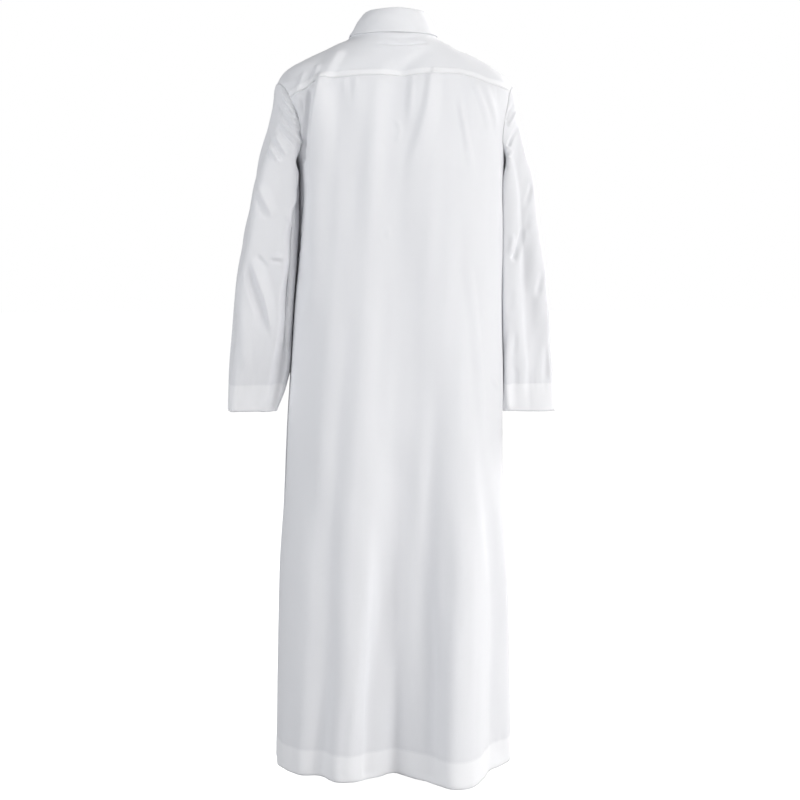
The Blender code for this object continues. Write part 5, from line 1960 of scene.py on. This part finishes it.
@dataclass
class Buttons:
    """The button on the stand and the four down the placket."""

    wardrobe: Wardrobe
    collar: Collar
    placket: Placket
    button: Button = Button()

    def on_stand(self) -> tuple[Array, Array]:
        """Middle of the stand's lapped front end and its normal, from two short steps."""
        stand, angle, step = self.collar.stand_points, np.array([-math.pi]), 0.01
        across = stand(angle + step, 0.5) - stand(angle - step, 0.5)
        down = stand(angle, 0.5 + step) - stand(angle, 0.5 - step)
        return stand(angle, 0.5)[0], unit(np.cross(down, across))[0]

    def build(self) -> None:
        """Set each button square to the cloth, its thread over it."""
        points, normals = self.placket.place(np.zeros(4), np.array(self.placket.levels))
        spots = [self.on_stand(), *zip(points, normals)]
        shape, faces = self.button.shape()
        sewn, sewn_faces, count = [], [], 0
        for number, (spot, normal) in enumerate(spots, 1):
            side = unit(np.cross(np.array([0.0, 0.0, 1.0]), normal))
            frame_here = np.stack([side, np.cross(normal, side), normal])
            base = spot + normal * self.button.gap
            piece = mesh_of(f"shirt_button_{number}", shape @ frame_here + base, faces, self.wardrobe.pearl)
            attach(piece, "root")
            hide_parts(f"button_{number}")
            for rod, quads in self.button.strands():
                sewn.append(rod @ frame_here + base)
                sewn_faces.append(quads + count)
                count += len(rod)
        thread = mesh_of("button_thread", np.concatenate(sewn), np.concatenate(sewn_faces),
                         self.wardrobe.thread)
        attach(thread, "root")
        LOG.info("buttons: %d faces each", len(faces))


# The set.


@dataclass(frozen=True)
class Lamp:
    """Soft square light aimed at the robe's middle line.

    turn is degrees round from the camera towards its right, rise degrees above the level it is aimed at, and
    power is in watts.
    """

    name: str
    turn: float
    rise: float
    power: float
    colour: tuple[float, float, float]
    size: float = 1.5
    distance: float = 4.0
    level: float = -0.65


WHITE = (1.0, 1.0, 1.0, 1.0)
WARM = (1.0, 0.99, 0.975)
COOL = (0.975, 0.985, 1.0)
LAMPS = (
    Lamp("key", 60.0, 25.0, 34.0, WARM),
    Lamp("near_key", 40.0, 5.0, 68.0, WARM),
    Lamp("high_key", 80.0, 50.0, 26.0, WARM),
    Lamp("left_high", -60.0, 30.0, 60.0, COOL),
    Lamp("left_side", -85.0, -5.0, 22.0, COOL),
    Lamp("front_light", 138.0, 24.0, 110.0, WARM, size=1.6),
)


@dataclass(frozen=True)
class Studio:
    """Pale floor, plain world, soft lights and the camera."""

    floor_level: float = -1.462
    floor_side: float = 30.0
    floor_colour: tuple[float, float, float, float] = (0.62, 0.62, 0.63, 1.0)
    floor_glow: float = 0.93
    ambient: float = 0.44
    ambient_colour: tuple[float, float, float, float] = (0.95, 0.97, 1.0, 1.0)
    lamps: tuple[Lamp, ...] = LAMPS
    view: View = View()

    def build(self) -> None:
        """Place everything that isn't the robe."""
        self.floor()
        self.world()
        for lamp in self.lamps:
            self.light(lamp)
        self.camera()

    def floor(self) -> None:
        """Large square floor, white to the eye and pale grey to the robe."""
        side = self.floor_side
        points = np.array([[-side, -side, self.floor_level], [side, -side, self.floor_level],
                           [side, side, self.floor_level], [-side, side, self.floor_level]])
        material, graph, shader = new_material("pale_floor")
        seen = graph.add("ShaderNodeLightPath").outputs["Is Camera Ray"]
        set_inputs(shader, {"Base Color": self.floor_colour, "Roughness": 0.9, "Emission Color": WHITE,
                            "Emission Strength": graph.maths("MULTIPLY", seen, self.floor_glow)})
        mesh_of("floor", points, np.array([[0, 1, 2, 3]]), material)

    def world(self) -> None:
        """White surroundings to the eye; the robe is lit by dim ones, darker above and before its front."""
        world = bpy.data.worlds.new("pale_room")
        bpy.context.scene.world = world
        world.use_nodes = True
        graph = Graph(world.node_tree)
        seen = world.node_tree.nodes["Background"]
        set_inputs(seen, {"Color": WHITE, "Strength": 1.0})
        place = graph.add("ShaderNodeTexCoord").outputs["Generated"]
        way = graph.add("ShaderNodeSeparateXYZ", {"Vector": place})
        upward = graph.ranged(way.outputs["Z"], 1.0, 0.25, 0.0, 0.8)
        frontward = graph.ranged(way.outputs["Y"], 1.0, 0.5, -0.3, 0.5)
        power = graph.maths("MULTIPLY", graph.maths("MULTIPLY", upward, frontward), self.ambient)
        lit = graph.add("ShaderNodeBackground", {"Color": self.ambient_colour, "Strength": power})
        path = graph.add("ShaderNodeLightPath").outputs["Is Camera Ray"]
        mix = graph.add("ShaderNodeMixShader", {0: path, 1: lit.outputs[0], 2: seen.outputs[0]})
        set_inputs(world.node_tree.nodes["World Output"], {"Surface": mix.outputs[0]})

    def light(self, lamp: Lamp) -> None:
        """Place one lamp so that it faces what it is aimed at."""
        data = bpy.data.lights.new(lamp.name, "AREA")
        data.size, data.energy, data.color = lamp.size, lamp.power, lamp.colour
        thing = bpy.data.objects.new(lamp.name, data)
        bpy.context.scene.collection.objects.link(thing)
        turn, rise = math.radians(lamp.turn) + self.view.turn, math.radians(lamp.rise)
        away = Vector((math.sin(turn) * math.cos(rise), -math.cos(turn) * math.cos(rise), math.sin(rise)))
        thing.location = Vector((0.0, 0.0, lamp.level)) + away * lamp.distance
        thing.rotation_euler = (-away).to_track_quat("-Z", "Y").to_euler()

    def camera(self) -> None:
        """Camera behind the robe, a little to its left, tilted down."""
        right, up, ahead = (Vector(axis) for axis in self.view.axes())
        data = bpy.data.cameras.new("camera")
        data.lens = self.view.lens
        data.sensor_width = self.view.sensor
        data.clip_end = 100.0
        camera = bpy.data.objects.new("camera", data)
        bpy.context.scene.collection.objects.link(camera)
        turned = Matrix((right, up, -ahead)).transposed().to_4x4()
        camera.matrix_world = Matrix.Translation(Vector(self.view.place)) @ turned
        bpy.context.scene.camera = camera


def main() -> None:
    """Build the robe and the set around it."""
    logging.basicConfig(level=logging.INFO, format="%(name)s: %(message)s")
    wardrobe = Wardrobe.make()
    bpy.context.scene.view_settings.view_transform = "Standard"
    BodyPanels(wardrobe).build()
    for side in Side:
        Sleeve(side, wardrobe).build()
    collar = Collar(wardrobe)
    collar.build()
    placket = Placket(wardrobe)
    placket.build()
    Buttons(wardrobe, collar, placket).build()
    Studio().build()


if __name__ == "__main__":
    main()
